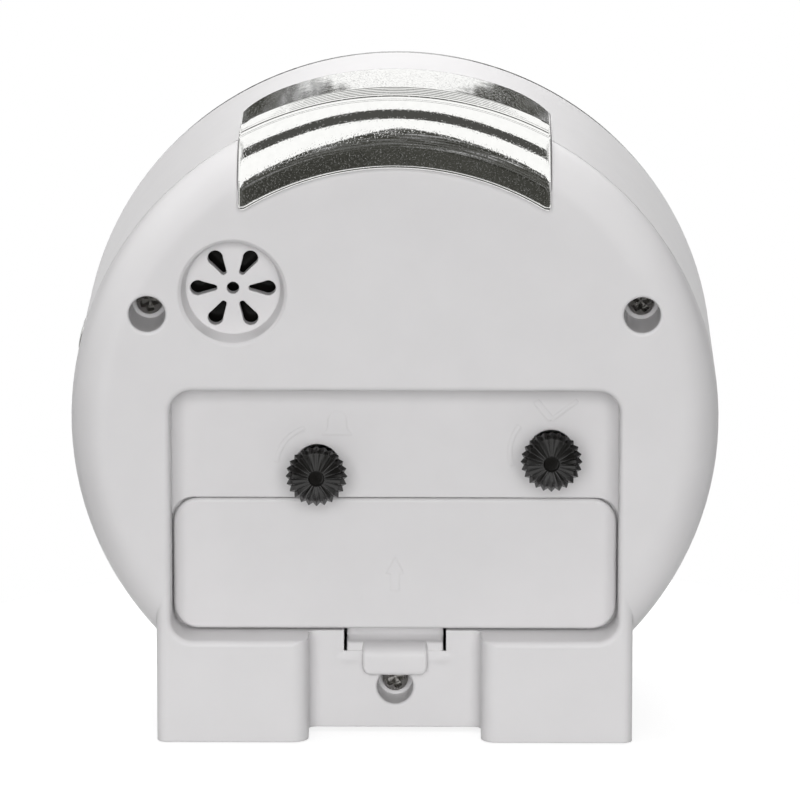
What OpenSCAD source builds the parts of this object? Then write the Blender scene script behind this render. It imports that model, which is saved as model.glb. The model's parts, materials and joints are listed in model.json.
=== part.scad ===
// Round quartz alarm clock with a plated snooze bar, built piece by piece.
// Millimetres, +Z up, dial towards -Y, back towards +Y.
// The origin is on the table, under the middle of the clock.

/* [Case] */
// Outside diameter of the round case
case_d = 100; // [98:1:104]
// Front of the bezel to the flat of the back
case_depth = 47.6; // [47:0.2:51]
// Thickness of the moulded shells
wall = 2.2; // [1.9:0.1:2.4]
// Rounding of the rear edge of the case
edge_r = 6; // [5.5:0.25:6.5]
// Height of the round case above the table
drum_clear = 0.3; // [0.2:0.1:0.8]
// Width of the base block
base_w = 73.8; // [72:0.2:76]
// Front of the bezel to the front of the base block
base_inset = 8; // [6:0.5:12]
// Rounding of the upright edges of the base block
base_edge_r = 1.6; // [0.8:0.2:2]
// Depth of the rear cover's lip inside the front case
lip_depth = 2; // [1.4:0.2:2.6]
// Thickness of the rear cover's lip
lip_t = 1.4; // [1:0.1:1.6]

/* [Bezel, lens, dial and hands] */
// Radial width of the bezel ring
bezel_w = 6; // [5.4:0.2:6.6]
// Thickness of the bezel ring
bezel_t = 1.6; // [1.2:0.1:2]
// Depth of the bezel's spigot inside the case
spigot_depth = 3; // [2:0.2:3.4]
// Thickness of the lens
lens_t = 1.5; // [1.2:0.1:1.7]
// Thickness of the hands
hand_t = 0.4; // [0.3:0.05:0.5]
// Gap between one hand and the next
hand_gap = 0.6; // [0.5:0.05:0.7]
// Length of the minute hand
minute_len = 36; // [30:0.5:40]
// Length of the hour hand
hour_len = 25; // [18:0.5:30]
// Length of the second hand
second_len = 38; // [30:0.5:41]
// Length of the alarm hand
alarm_len = 20; // [14:0.5:26]
// Thickness of the dial
dial_t = 1; // [0.8:0.1:1.2]
// Thickness of the wall behind the dial
support_t = 2.2; // [1.8:0.1:2.4]

/* [Back panel] */
// Depth of the recessed panel on the back
panel_depth = 7.1; // [6.7:0.1:7.5]
// Top edge of the panel, above the clock's axis
panel_top = 5.6; // [4:0.2:7]
// Bottom edge of the panel, below the clock's axis
panel_bottom = 34.2; // [34:0.1:35]
// Corner radius at the top of the panel
panel_corner_r = 3.4; // [2:0.2:5]
// Rounding of the panel's mouth
mouth_r = 0.9; // [0.5:0.1:1.2]
// Thickness of the panel's floor
floor_t = 2; // [1.8:0.1:2.2]
// Width of the channel between the rear feet
channel_w = 26.8; // [25:0.2:30]
// Rounding of the feet towards the channel
foot_r = 2.6; // [1.5:0.1:3.2]
// Fillet between the feet and the channel's floor
channel_fillet = 1.2; // [0.8:0.1:1.6]
// Height of the channel's wall above the table
channel_lift = 0.55; // [0.3:0.05:0.8]

/* [Case screws] */
// Upper screws, inward from the outside of the case
screw_in = 8.1; // [7.9:0.1:9.5]
// Direction of the upper screws, above the horizontal
screw_dir = 25; // [20:0.5:28]
// Height of the lower screw, as a share of the latch slot's height above the table
low_screw_share = 0.58; // [0.55:0.01:0.62]
// Diameter of the screw wells
well_d = 5.6; // [5:0.1:6]
// Depth of the upper screw heads below the back
head_down = 8.6; // [7:0.1:9]
// Depth of the lower screw head below the channel floor
low_head_down = 4.2; // [3.4:0.1:4.6]
// Diameter of the screw heads
head_d = 4; // [3.6:0.1:4.4]
// Height of the screw heads
head_h = 1.6; // [1.2:0.1:1.8]
// Diameter of the screw shanks
shank_d = 2.2; // [1.8:0.1:2.6]

/* [Sounder] */
// Sounder grille, inward from the outside of the case
dish_in = 17.4; // [17.2:0.1:18.6]
// Direction of the sounder grille, above the horizontal
dish_dir = 40.3; // [40:0.1:44]
// Diameter of the grille's dish at the back
dish_d = 16.8; // [15.6:0.2:17.2]
// Diameter of the flat floor of the dish
dish_floor_d = 14.6; // [14.2:0.1:15]
// Depth of the dish
dish_depth = 4; // [3:0.1:4.4]
// Diameter of the sounder
sounder_d = 16.4; // [15:0.2:16.8]
// Thickness of the sounder
sounder_t = 5; // [4:0.2:6]

/* [Battery] */
// Diameter of the cell
cell_d = 14.5; // [14:0.1:14.7]
// Length of the cell with its cap
cell_len = 50.5; // [49:0.1:50.7]
// Length of the pressed contact spring
spring_len = 5; // [4.4:0.2:5.4]
// Height of the battery door
door_h = 20.9; // [20:0.1:21.1]
// Thickness of the battery door
door_t = 1.8; // [1.6:0.1:2]
// Corner radius of the battery door
door_corner_r = 3.9; // [2.5:0.1:5]
// Width of the latch tongue
tongue_w = 10.2; // [8:0.2:12]
// Width of the slot around the latch
slot_w = 15.9; // [15:0.1:18]
// Travel of the latch
latch_travel = 1.2; // [0.8:0.1:1.3]

/* [Snooze bar] */
// Width of the bar
bar_w = 47.2; // [44:0.2:48]
// Back of the case to the front edge of the bar
bar_len = 26.8; // [24:0.2:28]
// Outside of the case to the lower edge of the bar's skirt
skirt_drop = 8.2; // [7.4:0.1:9]
// Thickness of the bar
bar_t = 1.15; // [1:0.05:1.25]
// Height of the bar above the case
bar_lift = 1; // [0.9:0.1:1.3]
// Depth of the bar behind the back
bar_proud = 1.4; // [1.3:0.05:1.6]
// Rounding of the bar's rear edge
bar_edge_r = 7; // [6.5:0.1:7.4]
// Rounding of the bar's front corners
bar_corner_r = 7; // [4:0.5:9]
// Number of grip ribs on the bar
bar_ribs = 8; // [4:1:9]
// Spacing of the grip ribs
rib_pitch = 1.05; // [1:0.05:1.3]
// Travel of the bar
bar_travel = 1.2; // [0.8:0.1:1.3]

/* [Setting knobs] */
// Diameter of the knobs over their teeth
knob_d = 9.5; // [8.6:0.1:9.8]
// Number of teeth on a knob
knob_teeth = 24; // [16:2:28]
// Back of a knob to the tips of its teeth
knob_back_h = 1.4; // [1:0.1:1.8]
// Tips of a knob's teeth to its front
knob_cone_h = 1.7; // [1.2:0.1:2]
// Panel floor to the tips of the knobs' teeth
knob_out = 6.4; // [5.6:0.1:6.6]
// Diameter of the knob holes in the panel
knob_hole_d = 7.1; // [6.4:0.1:7.6]
// Diameter of the setting shafts
shaft_d = 3; // [2.6:0.1:3.4]

/* [Alarm switch] */
// Centre of the switch, above the axis
switch_up = 5.6; // [5:0.1:9]
// Centre of the switch, behind the wall that carries the dial
switch_back = 6.6; // [6:0.2:8]
// Travel of the switch
switch_travel = 2.8; // [2:0.1:3]

/* [Movement] */
// Thickness of the movement's end plates
plate_t = 1.4; // [1.2:0.1:1.5]
// Thickness of the middle plate
mid_t = 1.2; // [1:0.1:1.3]
// Thickness of the wheels
wheel_t = 0.9; // [0.8:0.05:1]
// Gap between layers of wheels
layer_gap = 0.4; // [0.35:0.05:0.45]
// Wall of the movement's housings
mov_wall = 1.2; // [1:0.1:1.3]
// Tooth module of the setting gears
set_module = 0.4; // [0.4:0.005:0.405]
// Tooth module of the fourth wheel and its pinion
fourth_module = 0.3; // [0.295:0.005:0.305]
// Tooth module of the rotor pinion and the wheel it turns
rotor_module = 0.25; // [0.24:0.005:0.255]
// Third arbor, distance from the axis
third_dist = 7; // [6.95:0.05:7.1]
// Diameter of the coil
coil_d = 4.8; // [4:0.1:4.9]
// Length of the coil
coil_len = 13; // [11:0.5:14]
// Thickness of the circuit board
board_t = 0.8; // [0.6:0.1:1]

/* [Hidden] */
fine = 96;
round_fn = 48;
small_fn = 32;
run_gap = 0.05;
part_gap = 0.3;
eps = 0.02;

case_r = case_d / 2;
case_in_r = case_r - wall;
axis_z = case_r + drum_clear;
bead_out = 0.2;
back_y = (case_depth - bar_proud - bead_out) / 2;
front_y = back_y - case_depth;
seam_y = back_y - edge_r;
seam_groove = 0.35;
block_h = axis_z - sqrt(pow(case_r - edge_r, 2) - pow(base_w / 2, 2)) + 1;
base_front_y = front_y + base_inset;

// Depth of each layer, from the lens to the movement's rear plate
bezel_in_r = case_r - bezel_w;
bezel_y = front_y + bezel_t;
lens_r = case_in_r - 1.4;
lens_back_y = bezel_y + lens_t;
lens_gap = 0.7;
second_y = lens_back_y + lens_gap;
hand_step = hand_t + hand_gap;
minute_y = second_y + hand_step;
hour_y = minute_y + hand_step;
alarm_hand_y = hour_y + hand_step;
dial_y = alarm_hand_y + hand_step;
support_y = dial_y + dial_t;
mov_y = support_y + support_t;
layer = wheel_t + layer_gap;
alarm_y = mov_y + plate_t + layer_gap;
hour_wheel_y = alarm_y + layer;
motion_y = hour_wheel_y + layer;
mid_y = motion_y + layer;
centre_y = mid_y + mid_t + layer_gap;
third_y = centre_y + layer;
fourth_y = third_y + layer;
inter_y = fourth_y + layer;
rear_y = inter_y + layer + board_t + layer_gap;
mov_back_y = rear_y + plate_t;

// Teeth of the gears
time_teeth = 19;
motion_teeth = 45;
cannon_teeth = 15;
motion_pinion_teeth = 12;
hour_teeth = 48;
alarm_teeth = 54;
alarm_gear_teeth = 18;
pinion_teeth = 8;
third_teeth = 60;
centre_teeth = 64;
fourth_teeth = 40;
inter_teeth = 48;
third_module = 2 * third_dist / (pinion_teeth + third_teeth);
centre_module = 2 * third_dist / (pinion_teeth + centre_teeth);
addendum = 0.9;
dedendum = 1.15;

// Places of the arbors, as [sideways, up] from the clock's axis
function polar(d, a) = [d * cos(a), d * sin(a)];
function gear_dist(n1, n2, m) = m * (n1 + n2) / 2;
function tip_r(n, m) = m * (n / 2 + addendum);
alarm_dir = -33.3;
time_dir = 192.9;
third_dir = 60;
inter_dir = 150;
motion_at = polar(gear_dist(cannon_teeth, motion_teeth, set_module), time_dir);
time_at = motion_at + polar(gear_dist(time_teeth, motion_teeth, set_module), time_dir);
alarm_at = polar(gear_dist(alarm_teeth, alarm_gear_teeth, set_module), alarm_dir);
third_at = polar(third_dist, third_dir);
inter_at = polar(gear_dist(pinion_teeth, fourth_teeth, fourth_module), inter_dir);
rotor_at = inter_at + polar(gear_dist(pinion_teeth, inter_teeth, rotor_module), inter_dir);

// Turn of each gear that puts it in mesh with the one before it
function mesh(p1, n1, n2, dir) = dir + 180 - 180 / n2 + (dir - p1) * n1 / n2;
cannon_phase = 0;
motion_phase = mesh(cannon_phase, cannon_teeth, motion_teeth, time_dir);
time_phase = mesh(motion_phase, motion_teeth, time_teeth, time_dir);
motion_pinion_phase = 0;
hour_phase = mesh(motion_pinion_phase, motion_pinion_teeth, hour_teeth, time_dir + 180);
alarm_phase = 0;
alarm_gear_phase = mesh(alarm_phase, alarm_teeth, alarm_gear_teeth, alarm_dir);
fourth_pinion_phase = 0;
third_phase = mesh(fourth_pinion_phase, pinion_teeth, third_teeth, third_dir);
third_pinion_phase = 0;
centre_phase = mesh(third_pinion_phase, pinion_teeth, centre_teeth, third_dir + 180);
fourth_phase = 0;
inter_pinion_phase = mesh(fourth_phase, fourth_teeth, pinion_teeth, inter_dir);
inter_phase = 0;
rotor_phase = mesh(inter_phase, inter_teeth, pinion_teeth, inter_dir);

// Radii of the nested tubes that carry the hands
arbor_r = 0.5;
pivot_r = 0.4;
tube_wall = 0.55;
cannon_r = arbor_r + run_gap + tube_wall;
hour_r = cannon_r + run_gap + tube_wall + 0.1;
alarm_r = hour_r + run_gap + tube_wall + 0.2;
hub_w = 0.9;
shaft_r = shaft_d / 2;

// Outline of the movement
mov_left = time_at[0] - tip_r(time_teeth, set_module) - 0.7 - mov_wall;
mov_right = alarm_at[0] + tip_r(alarm_gear_teeth, set_module) + 1.2 + mov_wall;
mov_low = -(tip_r(motion_teeth, set_module) - motion_at[1]) - part_gap - mov_wall;
coil_up = rotor_at[1] + 8;
coil_x = rotor_at[0] - 2.5;
coil_flange = coil_d + 0.8;
mov_high = coil_up + coil_flange / 2 + part_gap + mov_wall;
mov_split_y = mid_y + mid_t / 2;
motor_y = (third_y + fourth_y + wheel_t) / 2;
stator_t = 1;
magnet_r = 3;
ear_out = 3.4;
ear_r = 2.6;
mov_screws = [[mov_left - ear_out, 8], [mov_right + ear_out, 8], [mov_right + ear_out, -8]];

// Panel, door and battery bay
panel_w = base_w - 2 * wall - 0.1;
panel_y = back_y - panel_depth;
sign_h = 0.06;
door_gap = 0.25;
door_w = panel_w - 2 * door_gap;
door_low = -panel_bottom + door_gap;
door_top = door_low + door_h;
door_mid = door_low + door_h / 2;
seat_gap = 0.1;
// The door turns on its rounded top edge
hinge_y = panel_y - door_t / 2;
hinge_up = door_top - door_t / 2;
seat_y = panel_y - door_t - seat_gap;
seat_t = 1.6;
bay_wall = 1.2;
bay_clear = 0.35;
contact_t = 0.5;
bay_len = cell_len + spring_len + 2 * contact_t;
bay_h = cell_d + 2 * bay_clear;
cell_y = seat_y - 0.2 - cell_d / 2;
bay_floor_y = cell_y - cell_d / 2 - 0.5;
cell_x = bay_len / 2 - contact_t - cell_len / 2;
tab_x = 22;
tab_w = 6;
tab_t = 1;
tab_len = 1.9;
slot_top = door_low + 1.6;
slot_low = door_low - 4.25;
latch_y = panel_y - 4.2;
latch_side = 0.45;
latch_gap = 0.2;
// The latch's arm is bent out from behind the door to its own upright face
latch_in_y = panel_y - 3.2;
latch_face_y = panel_y - 1;
latch_bend = door_low - 2.3;
tongue_y = panel_y + part_gap;
tongue_t = 1.3;
tongue_top = door_low - 1.8;
tongue_low = tongue_top - 5.7;

// Snooze bar: the skirt hangs behind the back, the crown lies over the case
bar_r = case_r + bar_lift;
skirt_r = case_r - skirt_drop;
bar_y = back_y + bar_proud;
bar_front_y = back_y - bar_len;
bar_centre_r = bar_r - bar_edge_r;
bar_centre_y = bar_y - bar_edge_r;
bar_side_gap = 0.4;
bar_room = bar_travel + 0.5;
bar_bed_r = bar_r - bar_t - bar_room;
bed_t = 2;
rib_r = 0.3;
bead_r = 0.45;
stem_y = bar_front_y + 9;
stem_w = 5;
stem_d = 4;
flange_t = 1.2;
flange_top = bar_bed_r - bed_t - part_gap;
stem_low = flange_top - flange_t - 2.2;
button_r = 1.75;
button_seat = 1;
button_len = button_seat + bar_travel + part_gap;
switch_h = button_seat + bar_travel + 1.3;
shelf_up = stem_low - bar_travel - part_gap - switch_h;
shelf_t = 2;
shelf_w = 16;
shelf_rib_t = 1.6;
shelf_rib_h = 5;

// Alarm switch on the side of the case
switch_y = mov_y + switch_back;
slide_h = 5.6;
slide_out = 0.6;
slide_w = 6.4;
slot_clear = 0.3;
slide_top = switch_up + (slide_h + switch_travel) / 2;
slide_stem_w = 2.2;
switch_body_x = case_in_r - 4;
switch_body_w = 10;
switch_body_h = 13;

// Depths at which the leads run, between the movement and the sounder
lead_r = 0.5;
sounder_front_y = back_y - dish_depth - floor_t - sounder_t;
dish_x = polar(case_r - dish_in, dish_dir)[0];
dish_up = polar(case_r - dish_in, dish_dir)[1];
lead_step = (sounder_front_y - mov_back_y) / 5;
lead_levels = [for (i = [0:3]) mov_back_y + (i + 0.5) * lead_step];
solder_w = 2.4;
solder_y = cell_y + 3.7;
solder_top = door_mid + bay_h / 2 + bay_wall + 1.2;
solder_room = 1.5;

// Posts that take the case screws
post_r = 3.1;
well_wall = 1.4;
seat_up_y = back_y - head_down - head_h;
seat_low_y = panel_y - low_head_down - head_h;
screw_len = 9;
upper_screw = polar(case_r - screw_in, screw_dir);
low_screw_up = low_screw_share * (axis_z + slot_low) - axis_z;
screws = [
    [upper_screw[0], upper_screw[1], seat_up_y, back_y],
    [-upper_screw[0], upper_screw[1], seat_up_y, back_y],
    [0, low_screw_up, seat_low_y, panel_y]
];

shell_grey = [0.83, 0.83, 0.83];
plating = [0.80, 0.81, 0.82];
knob_black = [0.10, 0.10, 0.10];
steel = [0.72, 0.73, 0.75];
brass = [0.80, 0.66, 0.32];
nylon = [0.92, 0.92, 0.88];

// Shared shapes

// Flat outline in the plane of the dial, as thick as the stretch from y0 to y1
module slab(y0, y1) {
    translate([0, y1, axis_z])
        rotate([90, 0, 0])
            linear_extrude(y1 - y0)
                children();
}

// Solid of revolution about the clock's axis from a [radius, y] section
module turned() {
    translate([0, 0, axis_z])
        rotate([-90, 0, 0])
            rotate_extrude($fn = fine)
                children();
}

module band(r0, r1, y0, y1) {
    translate([r0, y0])
        square([r1 - r0, y1 - y0]);
}

// Round rod along the depth of the clock
module rod(at, r, y0, y1, fn = round_fn) {
    translate([at[0], y0, axis_z + at[1]])
        rotate([-90, 0, 0])
            cylinder(r = r, h = y1 - y0, $fn = fn);
}

// Round rod from side to side
module lying_rod(x0, x1, y, up, r) {
    translate([x0, y, axis_z + up])
        rotate([0, 90, 0])
            cylinder(r = r, h = x1 - x0, $fn = round_fn);
}

// Box given by its ranges, with the heights taken from the clock's axis
module block(x0, x1, y0, y1, up0, up1) {
    translate([x0, y0, axis_z + up0])
        cube([x1 - x0, y1 - y0, up1 - up0]);
}

// Outline given as [y, up], as wide as w from side to side
module across(w) {
    translate([-w / 2, 0, axis_z])
        rotate([90, 0, 90])
            linear_extrude(w)
                children();
}

// Box centred on a place in plan
module centred_block(x, w, y, d, up0, up1) {
    block(x - w / 2, x + w / 2, y - d / 2, y + d / 2, up0, up1);
}

module rounded_rect(w, h, r) {
    square([w, h - 2 * r], center = true);
    square([w - 2 * r, h], center = true);
    for (x = [-1, 1], y = [-1, 1])
        translate([x * (w / 2 - r), y * (h / 2 - r)])
            circle(r, $fn = round_fn);
}

// Round rail along a rounded rectangle
module rail(w, h, corner, r) {
    for (s = [-1, 1]) {
        translate([-w / 2 + corner, s * h / 2, 0])
            rotate([0, 90, 0])
                cylinder(r = r, h = w - 2 * corner, $fn = small_fn);
        translate([s * w / 2, -h / 2 + corner, 0])
            rotate([-90, 0, 0])
                cylinder(r = r, h = h - 2 * corner, $fn = small_fn);
    }
    for (q = [0:3])
        translate([(q == 0 || q == 3 ? 1 : -1) * (w / 2 - corner), (q < 2 ? 1 : -1) * (h / 2 - corner), 0])
            rotate([0, 0, 90 * q])
                rotate_extrude(angle = 90, $fn = round_fn)
                    translate([corner, 0])
                        circle(r, $fn = small_fn);
}

// Plate with rounded corners whose upper edge is rounded too
module soft_plate(w, h, corner, t, r) {
    linear_extrude(t - r)
        rounded_rect(w, h, corner);
    linear_extrude(t)
        rounded_rect(w - 2 * r, h - 2 * r, corner - r);
    translate([0, 0, t - r])
        rail(w - 2 * r, h - 2 * r, corner - r, r);
}

// Cutter that rounds the mouth of a pocket with rounded corners, from height zero down
module mouth_cutter(w, h, corner, r) {
    difference() {
        translate([0, 0, -r])
            linear_extrude(r + 1)
                rounded_rect(w + 2 * r, h + 2 * r, corner + r);
        translate([0, 0, -r])
            rail(w + 2 * r, h + 2 * r, corner + r, r);
    }
}

// Places a cutter or a plate on a plane that faces the back
module facing_back(x, y, up) {
    translate([x, y, axis_z + up])
        rotate([-90, 0, 0])
            mirror([0, 1, 0])
                children();
}

module gear_outline(n, m, phase) {
    root = m * (n / 2 - dedendum);
    tip = tip_r(n, m);
    shape = [[-0.23, root], [-0.1, tip], [0.1, tip], [0.23, root]];
    polygon([
        for (i = [0:n - 1], p = shape)
            let (a = phase + 360 * (i + p[0]) / n)
                p[1] * [cos(a), sin(a)]
    ]);
}

module gear(at, n, m, phase, y0, y1) {
    slab(y0, y1)
        translate(at)
            gear_outline(n, m, phase);
}

// Straight wire from point to point, with round corners
module lead(points, r) {
    for (i = [0:len(points) - 2]) {
        d = points[i + 1] - points[i];
        translate(points[i])
            rotate([0, acos(d[2] / norm(d)), atan2(d[1], d[0])])
                cylinder(r = r, h = norm(d), $fn = small_fn);
        if (i > 0)
            translate(points[i])
                sphere(r, $fn = small_fn);
    }
}

// Case shells

// Section of the snooze bar's inside, lowered by a distance and drawn in by a thickness
module bar_inside(down, inset) {
    r = bar_edge_r - bar_t - inset;
    low = bar_centre_r - down;
    band(0, low + r, bar_front_y - 20, bar_centre_y);
    band(0, low, bar_front_y - 20, bar_centre_y + r);
    translate([low, bar_centre_y])
        circle(r, $fn = fine);
}

// Straight-sided plan of the bar, widened by a gap
module bar_plan(gap, y0, y1) {
    block(-bar_w / 2 - gap, bar_w / 2 + gap, y0, y1, 20, case_r + 10);
}

// Shallow bed that lets the bar go down
module bar_bed_cut() {
    intersection() {
        turned()
            difference() {
                band(bar_centre_r - bar_room, case_r + 8, bar_front_y - bar_side_gap, bar_y + 4);
                bar_inside(bar_room, 0);
            }
        bar_plan(bar_side_gap, bar_front_y - bar_side_gap, bar_y + 4);
    }
}

// Wall under the bed, between two depths
module bar_bed_wall(y0, y1) {
    intersection() {
        turned()
            intersection() {
                difference() {
                    bar_inside(bar_room, 0);
                    bar_inside(bar_room, bed_t);
                }
                band(bar_centre_r - bar_room, case_r, y0, y1);
            }
        bar_plan(bar_side_gap + bed_t, y0, y1);
    }
}

module front_case_outer() {
    turned()
        difference() {
            band(0, case_r, bezel_y, seam_y);
            translate([case_r, seam_y])
                circle(seam_groove, $fn = small_fn);
        }
    base_block(base_front_y, seam_y, false);
}

// Base block with rounded upright edges, at its front or at its rear
module base_block(y0, y1, at_rear) {
    r = base_edge_r;
    h = at_rear ? block_h : case_r / 2;
    linear_extrude(h)
        difference() {
            translate([-base_w / 2, y0])
                square([base_w, y1 - y0]);
            for (s = [-1, 1])
                translate([s * base_w / 2, at_rear ? y1 : y0])
                    difference() {
                        square(2 * r, center = true);
                        translate([-s * r, at_rear ? -r : r])
                            circle(r, $fn = small_fn);
                    }
        }
}

// Upright slot in which the alarm switch slides
module switch_slot(x0, w) {
    low = slide_top - slide_h - switch_travel - slot_clear;
    block(x0, case_r + 1, switch_y - w / 2, switch_y + w / 2, low, slide_top + slot_clear);
}

module front_case() {
    bottom = -axis_z;
    color(shell_grey)
        difference() {
            union() {
                difference() {
                    front_case_outer();
                    turned()
                        band(0, case_in_r, bezel_y - 1, seam_y + 1);
                    translate([-base_w / 2 + wall, base_front_y + wall, wall])
                        cube([base_w - 2 * wall, case_depth, case_r / 2 - wall - 1]);
                }
                turned()
                    band(0, case_in_r + eps, support_y, mov_y);
                for (s = screws)
                    rod([s[0], s[1]], post_r, mov_y - eps, s[2] - floor_t);
                block(-shelf_w / 2, shelf_w / 2, mov_y - eps, stem_y + 5, shelf_up - shelf_t, shelf_up);
                for (x = [-shelf_w / 2 + 0.2, shelf_w / 2 - 0.2 - shelf_rib_t])
                    block(x, x + shelf_rib_t, mov_y - eps, stem_y,
                        shelf_up - shelf_t - shelf_rib_h, shelf_up - eps);
                bar_bed_wall(bar_front_y - bar_side_gap - bed_t, seam_y);
            }
            rod([0, 0], alarm_r + 1.4, support_y - 1, mov_y + 1);
            bar_bed_cut();
            centred_block(0, stem_w + 2 * part_gap, stem_y, stem_d + 2 * part_gap, flange_top - 2, case_r + 2);
            for (s = screws)
                rod([s[0], s[1]], shank_d / 2, s[2] - floor_t - screw_len, s[2]);
            for (m = mov_screws)
                rod(m, shank_d / 2, support_y + 0.3, mov_y + 1);
            block(-channel_w / 2 - wall - part_gap, channel_w / 2 + wall + part_gap,
                panel_y - floor_t - part_gap, seam_y + 1, bottom - 1, bottom + wall + 1.2);
            switch_slot(case_in_r - 3, slide_w + 2 * slot_clear);
        }
}

// Section of the rear cover, drawn in by a thickness
module dish_section(inset) {
    r = edge_r - inset;
    y1 = back_y - inset;
    difference() {
        union() {
            band(0, case_r - edge_r, seam_y, y1);
            band(0, case_r - inset, seam_y, y1 - r + eps);
            intersection() {
                translate([case_r - edge_r, back_y - edge_r])
                    circle(r, $fn = fine);
                band(0, case_r, seam_y, back_y);
            }
        }
        if (inset == 0)
            translate([case_r, seam_y])
                circle(seam_groove, $fn = small_fn);
    }
}

module panel_outline(grow) {
    h = panel_top + panel_bottom;
    translate([0, (panel_top - panel_bottom) / 2])
        rounded_rect(panel_w + 2 * grow, h + 2 * grow, panel_corner_r + grow);
}

// Room for the battery door, and the floor it lies on
module seat_outline(grow) {
    translate([0, door_mid])
        rounded_rect(panel_w + 2 * grow, door_h + 2 * door_gap + 2 * grow, panel_corner_r + grow);
}

// Keeps what reaches forward of the seam inside the front case
module inside_front_case() {
    intersection() {
        children();
        union() {
            circle(case_in_r - part_gap, $fn = fine);
            translate([-panel_w / 2, -axis_z])
                square([panel_w, axis_z]);
        }
    }
}

// Part of a ring between two directions, drawn as a raised line
module arc_line(at, r, w, from, to) {
    translate(at)
        intersection() {
            difference() {
                circle(r + w / 2, $fn = round_fn);
                circle(r - w / 2, $fn = round_fn);
            }
            polygon([[0, 0], 2 * r * [cos(from), sin(from)], 2 * r * [cos(to), sin(to)]]);
        }
}

// Straight stroke between two points
module stroke(a, b, w) {
    d = b - a;
    translate(a)
        rotate(atan2(d[1], d[0]))
            translate([0, -w / 2])
                square([norm(d), w]);
}

// Faint raised signs by the knobs: a turning arrow each, a bell and a pair of hands
module knob_signs() {
    arc_r = 6.4;
    line_w = 0.7;
    bell_at = [-3.1, 5];
    hands_at = [0, 5.1];
    slab(panel_y - eps, panel_y + sign_h) {
        arc_line(alarm_at, arc_r, line_w, 6, 72);
        arc_line(time_at, arc_r, line_w, -20, 40);
        translate(alarm_at + bell_at)
            polygon([
                [-2.3, 0], [2.3, 0], [1.5, 1.1], [1.4, 2.7],
                [0.7, 3.8], [-0.7, 3.8], [-1.4, 2.7], [-1.5, 1.1]
            ]);
        stroke(time_at + hands_at, time_at + hands_at + [2.4, 3], 1);
        stroke(time_at + hands_at, time_at + hands_at + [-4, 3.1], 0.6);
    }
}

// Screw well with a soft mouth, as a [radius, y] section
module well_section(y0, y1, r, soft) {
    band(0, r, y0, y1);
    difference() {
        band(0, r + soft, y1 - soft, y1 + 1);
        translate([r + soft, y1 - soft])
            circle(soft, $fn = small_fn);
    }
}

module bored_at(at) {
    translate([at[0], 0, axis_z + at[1]])
        rotate([-90, 0, 0])
            rotate_extrude($fn = round_fn)
                children();
}

// Grille: a hole in the middle with drop-shaped petals round it
module grille_outline() {
    petals = 6;
    hole_r = 0.95;
    inner_at = 2.9;
    outer_at = 5.4;
    inner_r = 0.48;
    outer_r = 1.18;
    flank = 0.97;
    lean = asin((outer_r - inner_r) / (outer_at - inner_at));
    circle(hole_r, $fn = small_fn);
    for (i = [0:petals - 1])
        rotate(360 * i / petals) {
            translate([inner_at, 0])
                circle(inner_r, $fn = small_fn);
            translate([outer_at, 0])
                circle(outer_r, $fn = small_fn);
            polygon([
                for (c = [[inner_at, inner_r], [outer_at, outer_r], [outer_at, -outer_r], [inner_at, -inner_r]])
                    [c[0] - abs(c[1]) * sin(lean), flank * c[1] * cos(lean)]
            ]);
        }
}

module dish_cut() {
    soft = 0.5;
    bored_at([dish_x, dish_up])
        polygon([
            [0, back_y - dish_depth],
            [dish_floor_d / 2, back_y - dish_depth],
            [dish_d / 2 - soft, back_y - soft],
            [dish_d / 2, back_y],
            [dish_d / 2, back_y + 1],
            [0, back_y + 1]
        ]);
}

// Channel between the feet, flared by the rounding of the feet
module channel_cut() {
    translate([0, 0, -1])
        linear_extrude(axis_z + door_low + 1) {
            difference() {
                translate([-channel_w / 2, panel_y])
                    square([channel_w, panel_depth + 1]);
                for (s = [-1, 1])
                    translate([s * channel_w / 2, panel_y])
                        difference() {
                            square(2 * channel_fillet, center = true);
                            translate([-s * channel_fillet, channel_fillet])
                                circle(channel_fillet, $fn = small_fn);
                        }
            }
            for (s = [-1, 1])
                difference() {
                    translate([s * (channel_w / 2 + foot_r / 2), back_y - foot_r / 2 + 0.5])
                        square([foot_r, foot_r + 1], center = true);
                    translate([s * (channel_w / 2 + foot_r), back_y - foot_r])
                        circle(foot_r, $fn = round_fn);
                }
        }
}

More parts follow.
